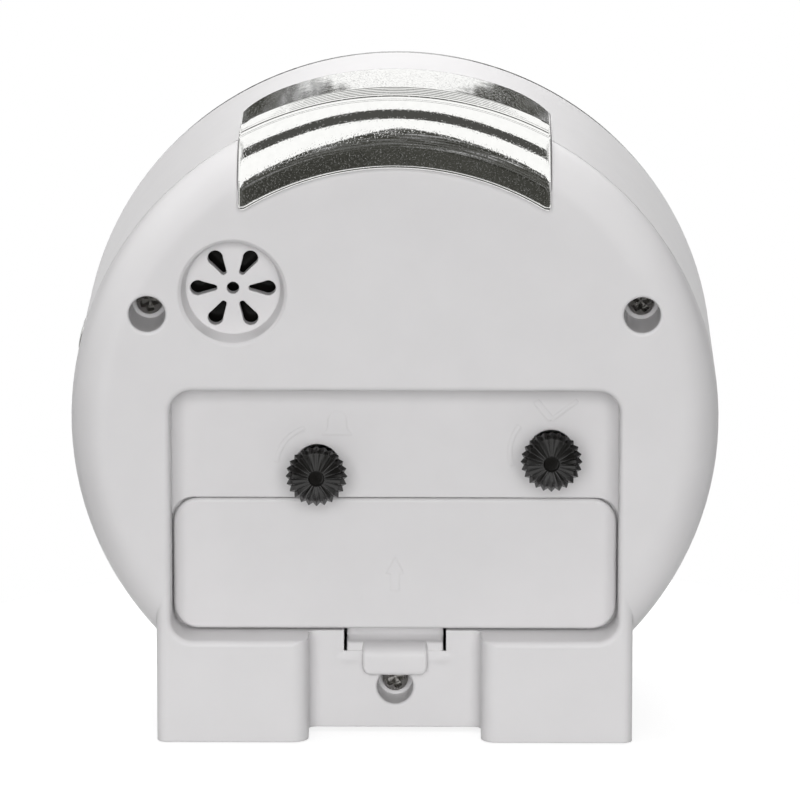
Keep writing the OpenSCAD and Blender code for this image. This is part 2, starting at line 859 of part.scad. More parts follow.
module rear_cover() {
    bottom = -axis_z;
    lip_r = case_in_r - 0.15;
    color(shell_grey) {
        knob_signs();
        difference() {
            union() {
                difference() {
                    union() {
                        turned()
                            dish_section(0);
                        base_block(seam_y, back_y, true);
                    }
                    turned()
                        dish_section(wall);
                    translate([-base_w / 2 + wall, seam_y - 1, wall])
                        cube([base_w - 2 * wall, edge_r - wall + 1, block_h - wall - 1]);
                }
                difference() {
                    turned()
                        band(lip_r - lip_t, lip_r, seam_y - lip_depth, back_y - wall - 0.5);
                    block(-bar_w / 2 - 4, bar_w / 2 + 4, seam_y - lip_depth - 1, back_y, 0, case_r);
                    block(-base_w / 2, base_w / 2, seam_y - lip_depth - 1, seam_y, bottom, bottom + block_h);
                }
                bar_bed_wall(seam_y, back_y - wall / 2);
                slab(seam_y, back_y - wall / 2)
                    panel_outline(wall);
                slab(panel_y - floor_t, seam_y + eps)
                    inside_front_case()
                        panel_outline(wall);
                slab(seat_y - seat_t, panel_y)
                    inside_front_case()
                        seat_outline(wall);
                block(-channel_w / 2 - wall, channel_w / 2 + wall, panel_y - floor_t, back_y - wall / 2,
                    bottom + channel_lift, door_low);
                block(-bay_len / 2 - bay_wall, bay_len / 2 + bay_wall, bay_floor_y - bay_wall, seat_y - eps,
                    door_mid - bay_h / 2 - bay_wall, door_mid + bay_h / 2 + bay_wall);
                for (s = screws)
                    rod([s[0], s[1]], well_d / 2 + well_wall, s[2] - floor_t, s[3] - wall / 2);
                rod([dish_x, dish_up], dish_d / 2 + well_wall, back_y - dish_depth - floor_t,
                    back_y - wall / 2);
            }
            slab(panel_y, back_y + 1)
                panel_outline(0);
            facing_back(0, back_y, (panel_top - panel_bottom) / 2)
                mouth_cutter(panel_w, panel_top + panel_bottom, panel_corner_r, mouth_r);
            slab(seat_y, panel_y + 1)
                seat_outline(-eps);
            channel_cut();
            block(-slot_w / 2, slot_w / 2, latch_y - 1.6, panel_y + 1, slot_low, slot_top);
            block(-bay_len / 2, bay_len / 2, bay_floor_y, seat_y + 1,
                door_mid - bay_h / 2, door_mid + bay_h / 2);
            for (s = [-1, 1]) {
                centred_block(s * (bay_len - contact_t) / 2, contact_t, solder_y, solder_w + 0.2,
                    door_mid, solder_top);
                block(s * tab_x - tab_w / 2 - part_gap, s * tab_x + tab_w / 2 + part_gap,
                    seat_y - seat_t - 0.5, seat_y + tab_t + part_gap,
                    door_top - 2.2, door_top + tab_len + part_gap);
            }
            rod(alarm_at, knob_hole_d / 2, panel_y - floor_t - 1, panel_y + 1);
            rod(time_at, knob_hole_d / 2, panel_y - floor_t - 1, panel_y + 1);
            for (s = screws) {
                bored_at([s[0], s[1]])
                    well_section(s[2], s[3], well_d / 2, 0.5);
                rod([s[0], s[1]], shank_d / 2 + 0.2, s[2] - floor_t - 1, s[2] + 1);
            }
            dish_cut();
            slab(back_y - dish_depth - floor_t - 1, back_y - dish_depth + 1)
                translate([dish_x, dish_up])
                    grille_outline();
            bar_bed_cut();
        }
    }
}

module front_bezel() {
    soft = 0.7;
    color(plating)
        turned() {
            difference() {
                band(bezel_in_r, case_r, front_y, bezel_y);
                translate([case_r, front_y])
                    difference() {
                        square(2 * soft, center = true);
                        translate([-soft, soft])
                            circle(soft, $fn = small_fn);
                    }
            }
            band(case_in_r - 1.2, case_in_r - 0.2, bezel_y - eps, bezel_y + spigot_depth);
        }
}

module lens() {
    color([0.85, 0.92, 0.95, 0.35])
        turned()
            band(0, lens_r, bezel_y, lens_back_y);
}

module dial_surround() {
    color(nylon)
        turned()
            polygon([
                [bezel_in_r + 0.3, lens_back_y],
                [lens_r, lens_back_y],
                [lens_r, dial_y],
                [bezel_in_r - 0.8, dial_y]
            ]);
}

module dial() {
    color([0.97, 0.97, 0.95])
        difference() {
            turned()
                band(0, case_in_r - 0.3, dial_y, support_y);
            rod([0, 0], alarm_r + 1.4, dial_y - 1, support_y + 1);
        }
}

// Hand on a round hub, pointing at a clock angle, with an optional tail
module hand(y, bore_r, angle, length, wide, narrow, tail) {
    slab(y, y + hand_t)
        rotate(-angle)
            difference() {
                union() {
                    circle(bore_r + hub_w, $fn = round_fn);
                    polygon([
                        [-wide / 2, -tail],
                        [wide / 2, -tail],
                        [narrow / 2, length],
                        [-narrow / 2, length]
                    ]);
                }
                circle(bore_r, $fn = round_fn);
            }
}

module hour_hand() {
    color(knob_black)
        hand(hour_y, hour_r, 304.5, hour_len, 3.2, 1.6, 0);
}

module minute_hand() {
    color(knob_black)
        hand(minute_y, cannon_r, 54, minute_len, 2.6, 1.2, 0);
}

module second_hand() {
    color([0.75, 0.12, 0.10])
        hand(second_y, arbor_r, 210, second_len, 1.1, 0.5, 10);
}

module alarm_hand() {
    color(brass)
        hand(alarm_hand_y, alarm_r, 195, alarm_len, 1.8, 0.8, 0);
}

// Snooze bar and its switch

module bar_section() {
    ribs_behind = 2.3;
    difference() {
        union() {
            band(skirt_r, bar_r, bar_front_y, bar_centre_y);
            band(skirt_r, bar_centre_r, bar_centre_y, bar_y);
            translate([bar_centre_r, bar_centre_y])
                circle(bar_edge_r, $fn = fine);
            for (i = [0:bar_ribs - 1]) {
                s = (i - ribs_behind) * rib_pitch;
                a = max(0, -s) / bar_edge_r * 180 / PI;
                translate([bar_centre_r, bar_centre_y - max(0, s)] + bar_edge_r * [cos(a), sin(a)])
                    circle(rib_r, $fn = small_fn);
            }
        }
        bar_inside(0, 0);
        band(0, skirt_r, bar_front_y - 1, bar_y + 1);
    }
    translate([skirt_r + bead_r, bar_y + bead_out - bead_r])
        circle(bead_r, $fn = small_fn);
}

module snooze_bar() {
    r = bar_corner_r;
    color(plating) {
        intersection() {
            turned()
                bar_section();
            translate([0, 0, axis_z + 20])
                linear_extrude(case_r)
                    union() {
                        translate([-bar_w / 2, bar_front_y + r])
                            square([bar_w, bar_len + 10]);
                        translate([-bar_w / 2 + r, bar_front_y])
                            square([bar_w - 2 * r, bar_len]);
                        for (s = [-1, 1])
                            translate([s * (bar_w / 2 - r), bar_front_y + r])
                                circle(r, $fn = round_fn);
                    }
        }
        centred_block(0, stem_w, stem_y, stem_d, stem_low, bar_r - bar_t / 2);
        centred_block(0, stem_w + 4, stem_y, stem_d, flange_top - flange_t, flange_top);
    }
}

module snooze_button() {
    color(knob_black)
        translate([0, stem_y, axis_z + stem_low - button_len])
            cylinder(r = button_r, h = button_len, $fn = small_fn);
}

module snooze_switch() {
    side = 6;
    color([0.2, 0.2, 0.22])
        difference() {
            centred_block(0, side, stem_y, side, shelf_up, shelf_up + switch_h);
            translate([0, stem_y, axis_z + shelf_up + 0.8])
                cylinder(r = button_r + run_gap, h = switch_h, $fn = small_fn);
        }
}

// Alarm switch on the side of the case

module alarm_switch_slider() {
    color(plating) {
        intersection() {
            block(case_in_r - 0.6, case_r, switch_y - slide_w / 2, switch_y + slide_w / 2,
                slide_top - slide_h, slide_top);
            turned()
                band(0, case_r + slide_out, switch_y - slide_w, switch_y + slide_w);
        }
        block(switch_body_x + 1.2, case_in_r, switch_y - slide_stem_w / 2, switch_y + slide_stem_w / 2,
            slide_top - slide_h + 0.2, slide_top - 0.2);
    }
}

module alarm_switch_body() {
    color([0.08, 0.08, 0.08])
        difference() {
            intersection() {
                centred_block((switch_body_x + case_r) / 2, case_r - switch_body_x, switch_y, switch_body_w,
                    switch_up - switch_body_h / 2, switch_up + switch_body_h / 2);
                turned()
                    band(0, case_in_r - run_gap, switch_y - switch_body_w / 2, switch_y + switch_body_w / 2);
            }
            switch_slot(switch_body_x + 1, slide_stem_w + slot_clear);
            switch_slot(case_in_r - 1, slide_w + 2 * slot_clear);
        }
}

// Battery door, latch, cell and contacts

module battery_door() {
    soft = 0.6;
    arrow_w = 2.8;
    arrow_low = door_low + 6.2;
    arrow_len = 5.4;
    color(shell_grey) {
        difference() {
            facing_back(0, seat_y + seat_gap, door_mid)
                soft_plate(door_w, door_h, door_corner_r, door_t, soft);
            block(-door_w / 2, door_w / 2, seat_y - 1, hinge_y, hinge_up, door_top + 1);
        }
        lying_rod(-door_w / 2 + door_corner_r, door_w / 2 - door_corner_r, hinge_y, hinge_up, door_t / 2);
        for (s = [-1, 1])
            block(s * tab_x - tab_w / 2, s * tab_x + tab_w / 2, seat_y + seat_gap, seat_y + tab_t,
                door_top - 3, door_top + tab_len);
        slab(panel_y - eps, panel_y + sign_h)
            translate([0, arrow_low])
                polygon([
                    [-arrow_w / 4, 0],
                    [arrow_w / 4, 0],
                    [arrow_w / 4, arrow_len / 2],
                    [arrow_w / 2, arrow_len / 2],
                    [0, arrow_len],
                    [-arrow_w / 2, arrow_len / 2],
                    [-arrow_w / 4, arrow_len / 2]
                ]);
    }
}

module door_latch() {
    arm_low = slot_low + latch_gap;
    arm_top = slot_top - latch_travel - 0.1;
    color(shell_grey) {
        across(slot_w - 2 * latch_side)
            polygon([
                [latch_y, arm_low + 1.2],
                [latch_y + 1.6, arm_low],
                [latch_face_y, arm_low],
                [latch_face_y, latch_bend],
                [latch_in_y, door_low - 0.2],
                [latch_in_y, door_low + eps],
                [seat_y + seat_gap, door_low + eps],
                [seat_y + seat_gap, arm_top],
                [latch_y, arm_top]
            ]);
        block(-tongue_w / 2, tongue_w / 2, latch_y + 1, tongue_y + tongue_t / 2, tongue_top - 1.4, tongue_top);
        facing_back(0, tongue_y, (tongue_top + tongue_low) / 2)
            soft_plate(tongue_w, tongue_top - tongue_low, 1.2, tongue_t, 0.6);
    }
}

module battery_cell() {
    cap = 1;
    cap_r = 2.75;
    x0 = cell_x - cell_len / 2;
    color([0.25, 0.28, 0.30]) {
        lying_rod(x0, x0 + cell_len - cap, cell_y, door_mid, cell_d / 2);
        lying_rod(x0 + cell_len - cap - eps, x0 + cell_len, cell_y, door_mid, cap_r);
    }
}

// Contact plate with a solder tab that comes out through the top of the bay
module contact_plate(x0) {
    block(x0, x0 + contact_t, cell_y - 5, cell_y + 5, door_mid - 6, door_mid + 6);
    centred_block(x0 + contact_t / 2, contact_t, solder_y, solder_w, door_mid, solder_top);
}

module positive_contact() {
    color(steel)
        contact_plate(bay_len / 2 - contact_t);
}

// Conical contact spring, one unbroken wire with its curls from a formula
spring_turns = 4;
spring_rings = 8;
spring_sides = 6;
wire_r = 0.3;
spring_big_r = 4.6;
spring_small_r = 2.4;
spring_count = spring_turns * spring_rings;
function spring_at(i) =
    let (f = i / spring_count)
    let (a = 360 * i / spring_rings)
    let (r = spring_big_r + (spring_small_r - spring_big_r) * f)
        [wire_r + f * (spring_len - 2 * wire_r), r * cos(a), r * sin(a)];
function spring_ring(i) =
    let (p = spring_at(i))
    let (out = [0, p[1], p[2]] / norm([0, p[1], p[2]]))
        [for (a = [0:360 / spring_sides:359]) p + wire_r * (cos(a) * out + [sin(a), 0, 0])];
spring_gap = min([
    for (i = [0:spring_count], j = [i + spring_rings / 2 : spring_count])
        norm(spring_at(i) - spring_at(j)) - 2 * wire_r
]);
echo(spring_least_gap = spring_gap);

module contact_spring() {
    n = spring_sides;
    last = spring_count * n;
    polyhedron(
        points = [for (i = [0:spring_count]) each spring_ring(i)],
        faces = concat(
            [for (k = [1:n - 2]) [0, k + 1, k]],
            [for (k = [1:n - 2]) [last, last + k, last + k + 1]],
            [for (i = [0:n:last - n], k = [0:n - 1]) [i + k, i + (k + 1) % n, i + n + k]],
            [for (i = [0:n:last - n], k = [0:n - 1]) [i + (k + 1) % n, i + n + (k + 1) % n, i + n + k]]
        )
    );
}

module negative_contact() {
    color(steel) {
        contact_plate(-bay_len / 2);
        translate([-bay_len / 2 + contact_t - 0.1, cell_y, axis_z + door_mid])
            contact_spring();
    }
}

// Sounder behind the grille

sounder_wall = 1;
sounder_back = 2;
disc_t = 0.4;

module sounder_case() {
    y1 = sounder_front_y + sounder_t;
    at = [dish_x, dish_up];
    color(knob_black)
        difference() {
            rod(at, sounder_d / 2, sounder_front_y, y1);
            rod(at, sounder_d / 2 - sounder_wall, sounder_front_y + sounder_back, y1 + 1);
        }
}

module sounder_disc() {
    y0 = sounder_front_y + sounder_back;
    color(knob_black)
        rod([dish_x, dish_up], sounder_d / 2 - sounder_wall - run_gap, y0, y0 + disc_t);
}

// Screws with a domed head and a cross recess
module screw(at, seat_y_at, length, head_turn) {
    recess_w = 0.85;
    recess_l = 2.7;
    recess_deep = 1;
    color(steel)
        difference() {
            union() {
                bored_at(at) {
                    band(0, shank_d / 2, seat_y_at - length, seat_y_at + 0.2);
                    band(0, head_d / 2, seat_y_at, seat_y_at + head_h * 0.55);
                    intersection() {
                        translate([0, seat_y_at + head_h - head_d * 0.8])
                            circle(head_d * 0.8, $fn = fine);
                        band(0, head_d / 2, seat_y_at + 0.1, seat_y_at + head_h);
                    }
                }
            }
            translate([at[0], seat_y_at + head_h - recess_deep, axis_z + at[1]])
                rotate([0, head_turn, 0])
                    for (a = [0, 90])
                        rotate([0, a, 0])
                            translate([-recess_l / 2, 0, -recess_w / 2])
                                cube([recess_l, recess_deep + 1, recess_w]);
        }
}

module case_screws() {
    turns = [12, 38, 25];
    for (i = [0:len(screws) - 1])
        screw([screws[i][0], screws[i][1]], screws[i][2], floor_t + screw_len - 1, turns[i]);
}

module movement_screws() {
    for (m = mov_screws)
        screw(m, mov_y + plate_t, plate_t + support_t - 0.6, 20);
}

// Setting knobs and shafts

// Toothed head: a tapered back, pointed teeth, a ridged cone and a dished middle
module knob_head() {
    n = 2 * knob_teeth;
    r = knob_d / 2;
    back_r = 3;
    middle_r = 1.3;
    top = knob_back_h + knob_cone_h;
    // Rings from the back to the middle, as [radius, height] on a ridge and in a groove
    ridge = [[back_r, 0], [r, knob_back_h], [r - 0.75, knob_back_h + 0.8], [middle_r, top]];
    groove = [[back_r, 0], [r - 0.65, knob_back_h - 0.3], [r - 1.2, knob_back_h + 0.4], [middle_r, top - 0.25]];
    rings = len(ridge);
    points = concat(
        [
            for (k = [0:rings - 1], i = [0:n - 1])
                let (p = i % 2 == 0 ? ridge[k] : groove[k], a = 360 * i / n)
                    [p[0] * cos(a), p[0] * sin(a), p[1]]
        ],
        [[0, 0, 0], [0, 0, top - 0.6]]
    );
    low = rings * n;
    high = low + 1;
    last = (rings - 1) * n;
    polyhedron(
        points = points,
        faces = concat(
            [for (i = [0:n - 1]) [low, i, (i + 1) % n]],
            [for (t = [0:n:last - n], i = [0:n - 1]) [t + i, t + n + i, t + (i + 1) % n]],
            [for (t = [0:n:last - n], i = [0:n - 1]) [t + (i + 1) % n, t + n + i, t + n + (i + 1) % n]],
            [for (i = [0:n - 1]) [last + i, high, last + (i + 1) % n]]
        )
    );
}

module set_knob(at) {
    neck_r = 2.6;
    socket = 3;
    back = panel_y + knob_out - knob_back_h;
    color(knob_black)
        difference() {
            union() {
                facing_back(at[0], back, at[1])
                    knob_head();
                rod(at, neck_r, panel_y - floor_t - 0.8, back + 0.5);
            }
            rod(at, shaft_r, panel_y - floor_t - 2, panel_y - floor_t - 0.8 + socket);
        }
}

module time_set_knob() {
    set_knob(time_at);
}

module alarm_set_knob() {
    set_knob(alarm_at);
}

module set_shaft(at, teeth, phase, gear_y) {
    color(nylon) {
        rod(at, shaft_r, mov_y + plate_t + 0.1, panel_y - floor_t - 0.8 + 3);
        rod(at, 1, mov_y + 0.2, mov_y + plate_t + 0.2);
        gear(at, teeth, set_module, phase, gear_y, gear_y + wheel_t);
    }
}

module time_set_shaft() {
    set_shaft(time_at, time_teeth, time_phase, motion_y);
}

module alarm_set_shaft() {
    set_shaft(alarm_at, alarm_gear_teeth, alarm_gear_phase, alarm_y);
}

// Movement housings

module mov_outline(inset) {
    w = mov_right - mov_left;
    h = mov_high - mov_low;
    translate([(mov_left + mov_right) / 2, (mov_low + mov_high) / 2])
        rounded_rect(w - 2 * inset, h - 2 * inset, 2.4 - inset);
}

// Posts in the corners of the movement, which hold the middle plate
module mov_corner_posts() {
    post = 2.2;
    intersection() {
        mov_outline(0);
        for (x = [mov_left + mov_wall, mov_right - mov_wall])
            for (z = [mov_low + mov_wall, mov_high - mov_wall])
                translate([x, z])
                    circle(post, $fn = small_fn);
    }
}

module movement_front_housing() {
    color(nylon)
        difference() {
            union() {
                slab(mov_y, mov_y + plate_t) {
                    mov_outline(0);
                    for (m = mov_screws) {
                        translate(m)
                            circle(ear_r, $fn = round_fn);
                        translate([m[0] + (m[0] < 0 ? ear_out / 2 : -ear_out / 2) * 1.2, m[1]])
                            square([ear_out * 1.2, 2 * ear_r], center = true);
                    }
                }
                slab(mov_y, mov_split_y)
                    difference() {
                        mov_outline(0);
                        mov_outline(mov_wall);
                    }
                slab(mov_y, mid_y)
                    mov_corner_posts();
            }
            rod([0, 0], alarm_r + run_gap, mov_y - 1, mov_y + plate_t + 1);
            for (at = [time_at, alarm_at])
                rod(at, 1 + run_gap, mov_y - 1, mov_y + plate_t + 1);
            rod(motion_at, pivot_r + run_gap, mov_y - 1, mov_y + plate_t + 1, small_fn);
            for (m = mov_screws)
                rod(m, shank_d / 2 + 0.2, mov_y - 1, mov_y + plate_t + 1);
        }
}

module movement_middle_plate() {
    color([0.75, 0.75, 0.72])
        difference() {
            slab(mid_y, mid_y + mid_t)
                mov_outline(mov_wall + 0.15);
            rod([0, 0], cannon_r + run_gap, mid_y - 1, mid_y + mid_t + 1);
            for (at = [time_at, alarm_at])
                rod(at, shaft_r + 0.3, mid_y - 1, mid_y + mid_t + 1);
            for (at = [motion_at, third_at, inter_at, rotor_at])
                rod(at, pivot_r + run_gap, mid_y - 1, mid_y + mid_t + 1, small_fn);
        }
}

module movement_rear_housing() {
    color(nylon)
        difference() {
            union() {
                slab(rear_y, mov_back_y)
                    mov_outline(0);
                slab(mov_split_y, mov_back_y)
                    difference() {
                        mov_outline(0);
                        mov_outline(mov_wall);
                    }
                slab(mid_y + mid_t, mov_back_y)
                    mov_corner_posts();
                for (x = stator_ends)
                    rod([x, stator_foot_up], stator_post_r, motor_y + stator_t / 2, rear_y + eps);
            }
            for (at = [time_at, alarm_at])
                rod(at, shaft_r + run_gap, rear_y - 1, mov_back_y + 1);
            for (at = [[0, 0], third_at, inter_at, rotor_at])
                rod(at, pivot_r + run_gap, rear_y - 1, mov_back_y + 1, small_fn);
            for (x = pads)
                rod([x, pad_up], pad_r, rear_y - 1, mov_back_y + 1, small_fn);
        }
}

// Wheels, from the dial towards the back

module alarm_wheel() {
    color(nylon)
        difference() {
            union() {
                gear([0, 0], alarm_teeth, set_module, alarm_phase, alarm_y, alarm_y + wheel_t);
                rod([0, 0], alarm_r, alarm_hand_y, alarm_y + eps);
            }
            rod([0, 0], hour_r + run_gap, alarm_hand_y - 1, alarm_y + 2);
        }
}

module hour_wheel() {
    color(nylon)
        difference() {
            union() {
                gear([0, 0], hour_teeth, set_module, hour_phase, hour_wheel_y, hour_wheel_y + wheel_t);
                rod([0, 0], hour_r, hour_y, hour_wheel_y + eps);
            }
            rod([0, 0], cannon_r + run_gap, hour_y - 1, hour_wheel_y + 2);
        }
}

module motion_wheel() {
    color(nylon) {
        gear(motion_at, motion_teeth, set_module, motion_phase, motion_y, motion_y + wheel_t);
        gear(motion_at, motion_pinion_teeth, set_module, motion_pinion_phase, hour_wheel_y, motion_y + eps);
        rod(motion_at, pivot_r, mov_y + 0.2, mid_y + mid_t - 0.2, small_fn);
        rod(motion_at, arbor_r, mov_y + plate_t + 0.1, mid_y - 0.1, small_fn);
    }
}

module cannon_pinion() {
    color(brass)
        difference() {
            union() {
                gear([0, 0], cannon_teeth, set_module, cannon_phase, motion_y, motion_y + wheel_t);
                rod([0, 0], cannon_r, minute_y, centre_y + wheel_t + 0.2);
            }
            rod([0, 0], arbor_r + run_gap, minute_y - 1, centre_y + wheel_t + 1);
        }
}

module centre_wheel() {
    color(nylon)
        difference() {
            gear([0, 0], centre_teeth, centre_module, centre_phase, centre_y, centre_y + wheel_t);
            rod([0, 0], cannon_r + run_gap, centre_y - 1, centre_y + wheel_t + 1);
        }
}

module third_wheel() {
    color(nylon) {
        gear(third_at, third_teeth, third_module, third_phase, third_y, third_y + wheel_t);
        gear(third_at, pinion_teeth, centre_module, third_pinion_phase, centre_y, third_y + eps);
        rod(third_at, pivot_r, mid_y + 0.2, mov_back_y - 0.2, small_fn);
        rod(third_at, arbor_r, mid_y + mid_t + 0.1, rear_y - 0.1, small_fn);
    }
}

module fourth_wheel() {
    color(nylon) {
        gear([0, 0], fourth_teeth, fourth_module, fourth_phase, fourth_y, fourth_y + wheel_t);
        gear([0, 0], pinion_teeth, third_module, fourth_pinion_phase, third_y, fourth_y + eps);
        rod([0, 0], arbor_r, second_y, rear_y - 0.1, small_fn);
        rod([0, 0], pivot_r, rear_y - 0.2, mov_back_y - 0.2, small_fn);
    }
}

module intermediate_wheel() {
    color(nylon) {
        gear(inter_at, inter_teeth, rotor_module, inter_phase, inter_y, inter_y + wheel_t);
        gear(inter_at, pinion_teeth, fourth_module, inter_pinion_phase, fourth_y, inter_y + eps);
        rod(inter_at, pivot_r, mid_y + 0.2, mov_back_y - 0.2, small_fn);
        rod(inter_at, arbor_r, mid_y + mid_t + 0.1, rear_y - 0.1, small_fn);
    }
}

// Stepping motor

module rotor() {
    color([0.35, 0.35, 0.38]) {
        rod(rotor_at, magnet_r, third_y, fourth_y + wheel_t);
        gear(rotor_at, pinion_teeth, rotor_module, rotor_phase, fourth_y + wheel_t - eps, inter_y + wheel_t);
        rod(rotor_at, pivot_r, mid_y + 0.2, mov_back_y - 0.2, small_fn);
        rod(rotor_at, arbor_r, mid_y + mid_t + 0.1, rear_y - 0.1, small_fn);
    }
}

core_h = 2;
stator_leg = 3.5;
stator_w = coil_len + 2 * stator_leg;
stator_ends = [coil_x - stator_w / 2 + 1.4, coil_x + stator_w / 2 - 1.4];
stator_foot_up = coil_up - 3;
stator_post_r = 1.2;

module stator() {
    low = rotor_at[1] - magnet_r - 1.8;
    color(steel)
        slab(motor_y - stator_t / 2, motor_y + stator_t / 2)
            difference() {
                translate([coil_x - stator_w / 2, low])
                    square([stator_w, coil_up + core_h / 2 - low]);
                translate([coil_x - coil_len / 2 - 0.6, coil_up - coil_flange / 2 - 0.6])
                    square([coil_len + 1.2, coil_flange / 2 + 0.6 - core_h / 2]);
                translate(rotor_at)
                    circle(magnet_r + 0.4, $fn = round_fn);
                translate(inter_at)
                    circle(tip_r(pinion_teeth, fourth_module) + 0.5, $fn = round_fn);
                circle(tip_r(fourth_teeth, fourth_module) + 0.5, $fn = round_fn);
            }
}

module coil_tube(x0, x1, r) {
    lying_rod(coil_x + x0, coil_x + x1, motor_y, coil_up, r);
}

coil_core_r = 1.35;

module coil_bobbin() {
    half = coil_len / 2;
    flange_w = 0.7;
    color([0.25, 0.45, 0.30])
        difference() {
            union() {
                coil_tube(-half, half, coil_core_r);
                for (x = [-half, half - flange_w])
                    block(coil_x + x, coil_x + x + flange_w, motor_y - coil_d / 2, motor_y + coil_d / 2,
                        coil_up - coil_flange / 2, coil_up + coil_flange / 2);
            }
            centred_block(coil_x, coil_len + 2, motor_y, stator_t + 2 * run_gap,
                coil_up - core_h / 2 - run_gap, coil_up + core_h / 2 + run_gap);
        }
}

module coil_winding() {
    half = coil_len / 2 - 0.75;
    color([0.72, 0.40, 0.22])
        difference() {
            coil_tube(-half, half, coil_d / 2 - 0.1);
            coil_tube(-half - 1, half + 1, coil_core_r + 0.02);
        }
}

// Circuit

board_low = coil_up - coil_flange / 2 - 1.2;
board_high = mov_high - mov_wall - 0.2;
board_left = -14;
board_right = mov_right - mov_wall - 2.6;
pads = [-11, -8, -5, -2, 1, 4];
pad_up = board_high - 2.2;
pad_r = 0.9;
crystal_room = 8.4;
crystal_len = 6;

module circuit_board() {
    color([0.15, 0.40, 0.22])
        difference() {
            block(board_left, board_right, rear_y - board_t, rear_y, board_low, board_high);
            rod([stator_ends[1], stator_foot_up], stator_post_r + part_gap, rear_y - 2, rear_y + 1);
        }
}

module quartz_crystal() {
    r = 1;
    color(steel)
        lying_rod(board_right - crystal_room + 0.9, board_right - crystal_room + 0.9 + crystal_len,
            rear_y - board_t - r, board_high - 2, r);
}

module clock_chip() {
    chip_r = 2.1;
    chip_h = 0.9;
    color([0.06, 0.06, 0.06])
        rod([board_right - crystal_room - chip_r, board_low + 2.6], chip_r,
            rear_y - board_t - chip_h, rear_y - board_t);
}

module alarm_contact_leaf() {
    leaf_t = 0.2;
    leaf_w = 2.4;
    leaf_up = 3.5;
    x0 = cannon_r + set_module * cannon_teeth / 2 + 1.2;
    x1 = mov_right - mov_wall - 1;
    y0 = hour_wheel_y + wheel_t + 0.1;
    color(brass) {
        block(x0, x1, y0, y0 + leaf_t, leaf_up, leaf_up + leaf_w);
        block(x1 - 2, x1, y0, mid_y, leaf_up, leaf_up + leaf_w);
    }
}

// Leads between the cell, the switches, the sounder and the circuit

module battery_leads() {
    color([0.75, 0.12, 0.10])
        for (i = [0, 1]) {
            p = pads[i == 0 ? 0 : 5];
            x = (i == 0 ? -1 : 1) * (bay_len - contact_t) / 2;
            lead([
                [p, rear_y, axis_z + pad_up],
                [p, lead_levels[0], axis_z + pad_up],
                [x, lead_levels[0], axis_z + pad_up],
                [x, lead_levels[0], axis_z + solder_top + solder_room],
                [x, solder_y, axis_z + solder_top + solder_room],
                [x, solder_y, axis_z + solder_top]
            ], lead_r);
        }
}

module sounder_leads() {
    color([0.10, 0.10, 0.12])
        for (i = [0, 1]) {
            p = pads[4 - i];
            x = dish_x + 2 - 4 * i;
            lead([
                [p, rear_y, axis_z + pad_up],
                [p, lead_levels[1 + i], axis_z + pad_up],
                [x, lead_levels[1 + i], axis_z + pad_up],
                [x, lead_levels[1 + i], axis_z + dish_up],
                [x, sounder_front_y, axis_z + dish_up]
            ], lead_r);
        }
}

module switch_leads() {
    side_x = pads[1] - 2.8;
    snooze_up = axis_z + shelf_up + 1.4;
    bend_x = upper_screw[0] - post_r - 2.9;
    color([0.20, 0.30, 0.60]) {
        lead([
            [pads[1], rear_y, axis_z + pad_up],
            [pads[1], lead_levels[1], axis_z + pad_up],
            [side_x, lead_levels[1], axis_z + pad_up],
            [side_x, lead_levels[1], snooze_up],
            [-3, lead_levels[1], snooze_up]
        ], lead_r);
        lead([
            [pads[2], rear_y, axis_z + pad_up],
            [pads[2], lead_levels[3], axis_z + pad_up],
            [bend_x, lead_levels[3], axis_z + pad_up],
            [bend_x, lead_levels[3], axis_z + switch_up],
            [bend_x, switch_y, axis_z + switch_up],
            [switch_body_x, switch_y, axis_z + switch_up]
        ], lead_r);
    }
}

front_case();
rear_cover();
front_bezel();
lens();
dial_surround();
dial();
hour_hand();
minute_hand();
second_hand();
alarm_hand();
snooze_bar();
snooze_button();
snooze_switch();
alarm_switch_slider();
alarm_switch_body();
battery_door();
door_latch();
battery_cell();
positive_contact();
negative_contact();
sounder_case();
sounder_disc();
case_screws();
time_set_knob();
alarm_set_knob();
time_set_shaft();
alarm_set_shaft();
movement_front_housing();
movement_middle_plate();
movement_rear_housing();
movement_screws();
alarm_wheel();
hour_wheel();
motion_wheel();
cannon_pinion();
centre_wheel();
third_wheel();
fourth_wheel();
intermediate_wheel();
rotor();
stator();
coil_bobbin();
coil_winding();
circuit_board();
quartz_crystal();
clock_chip();
alarm_contact_leaf();
battery_leads();
sounder_leads();
switch_leads();
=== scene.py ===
# Round quartz alarm clock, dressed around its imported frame.
# Lengths here are in millimetres until a mesh is finished. +Z is up, the dial faces -Y and the back faces +Y.
import json
import math

import bmesh
import bpy
from mathutils import Matrix, Vector

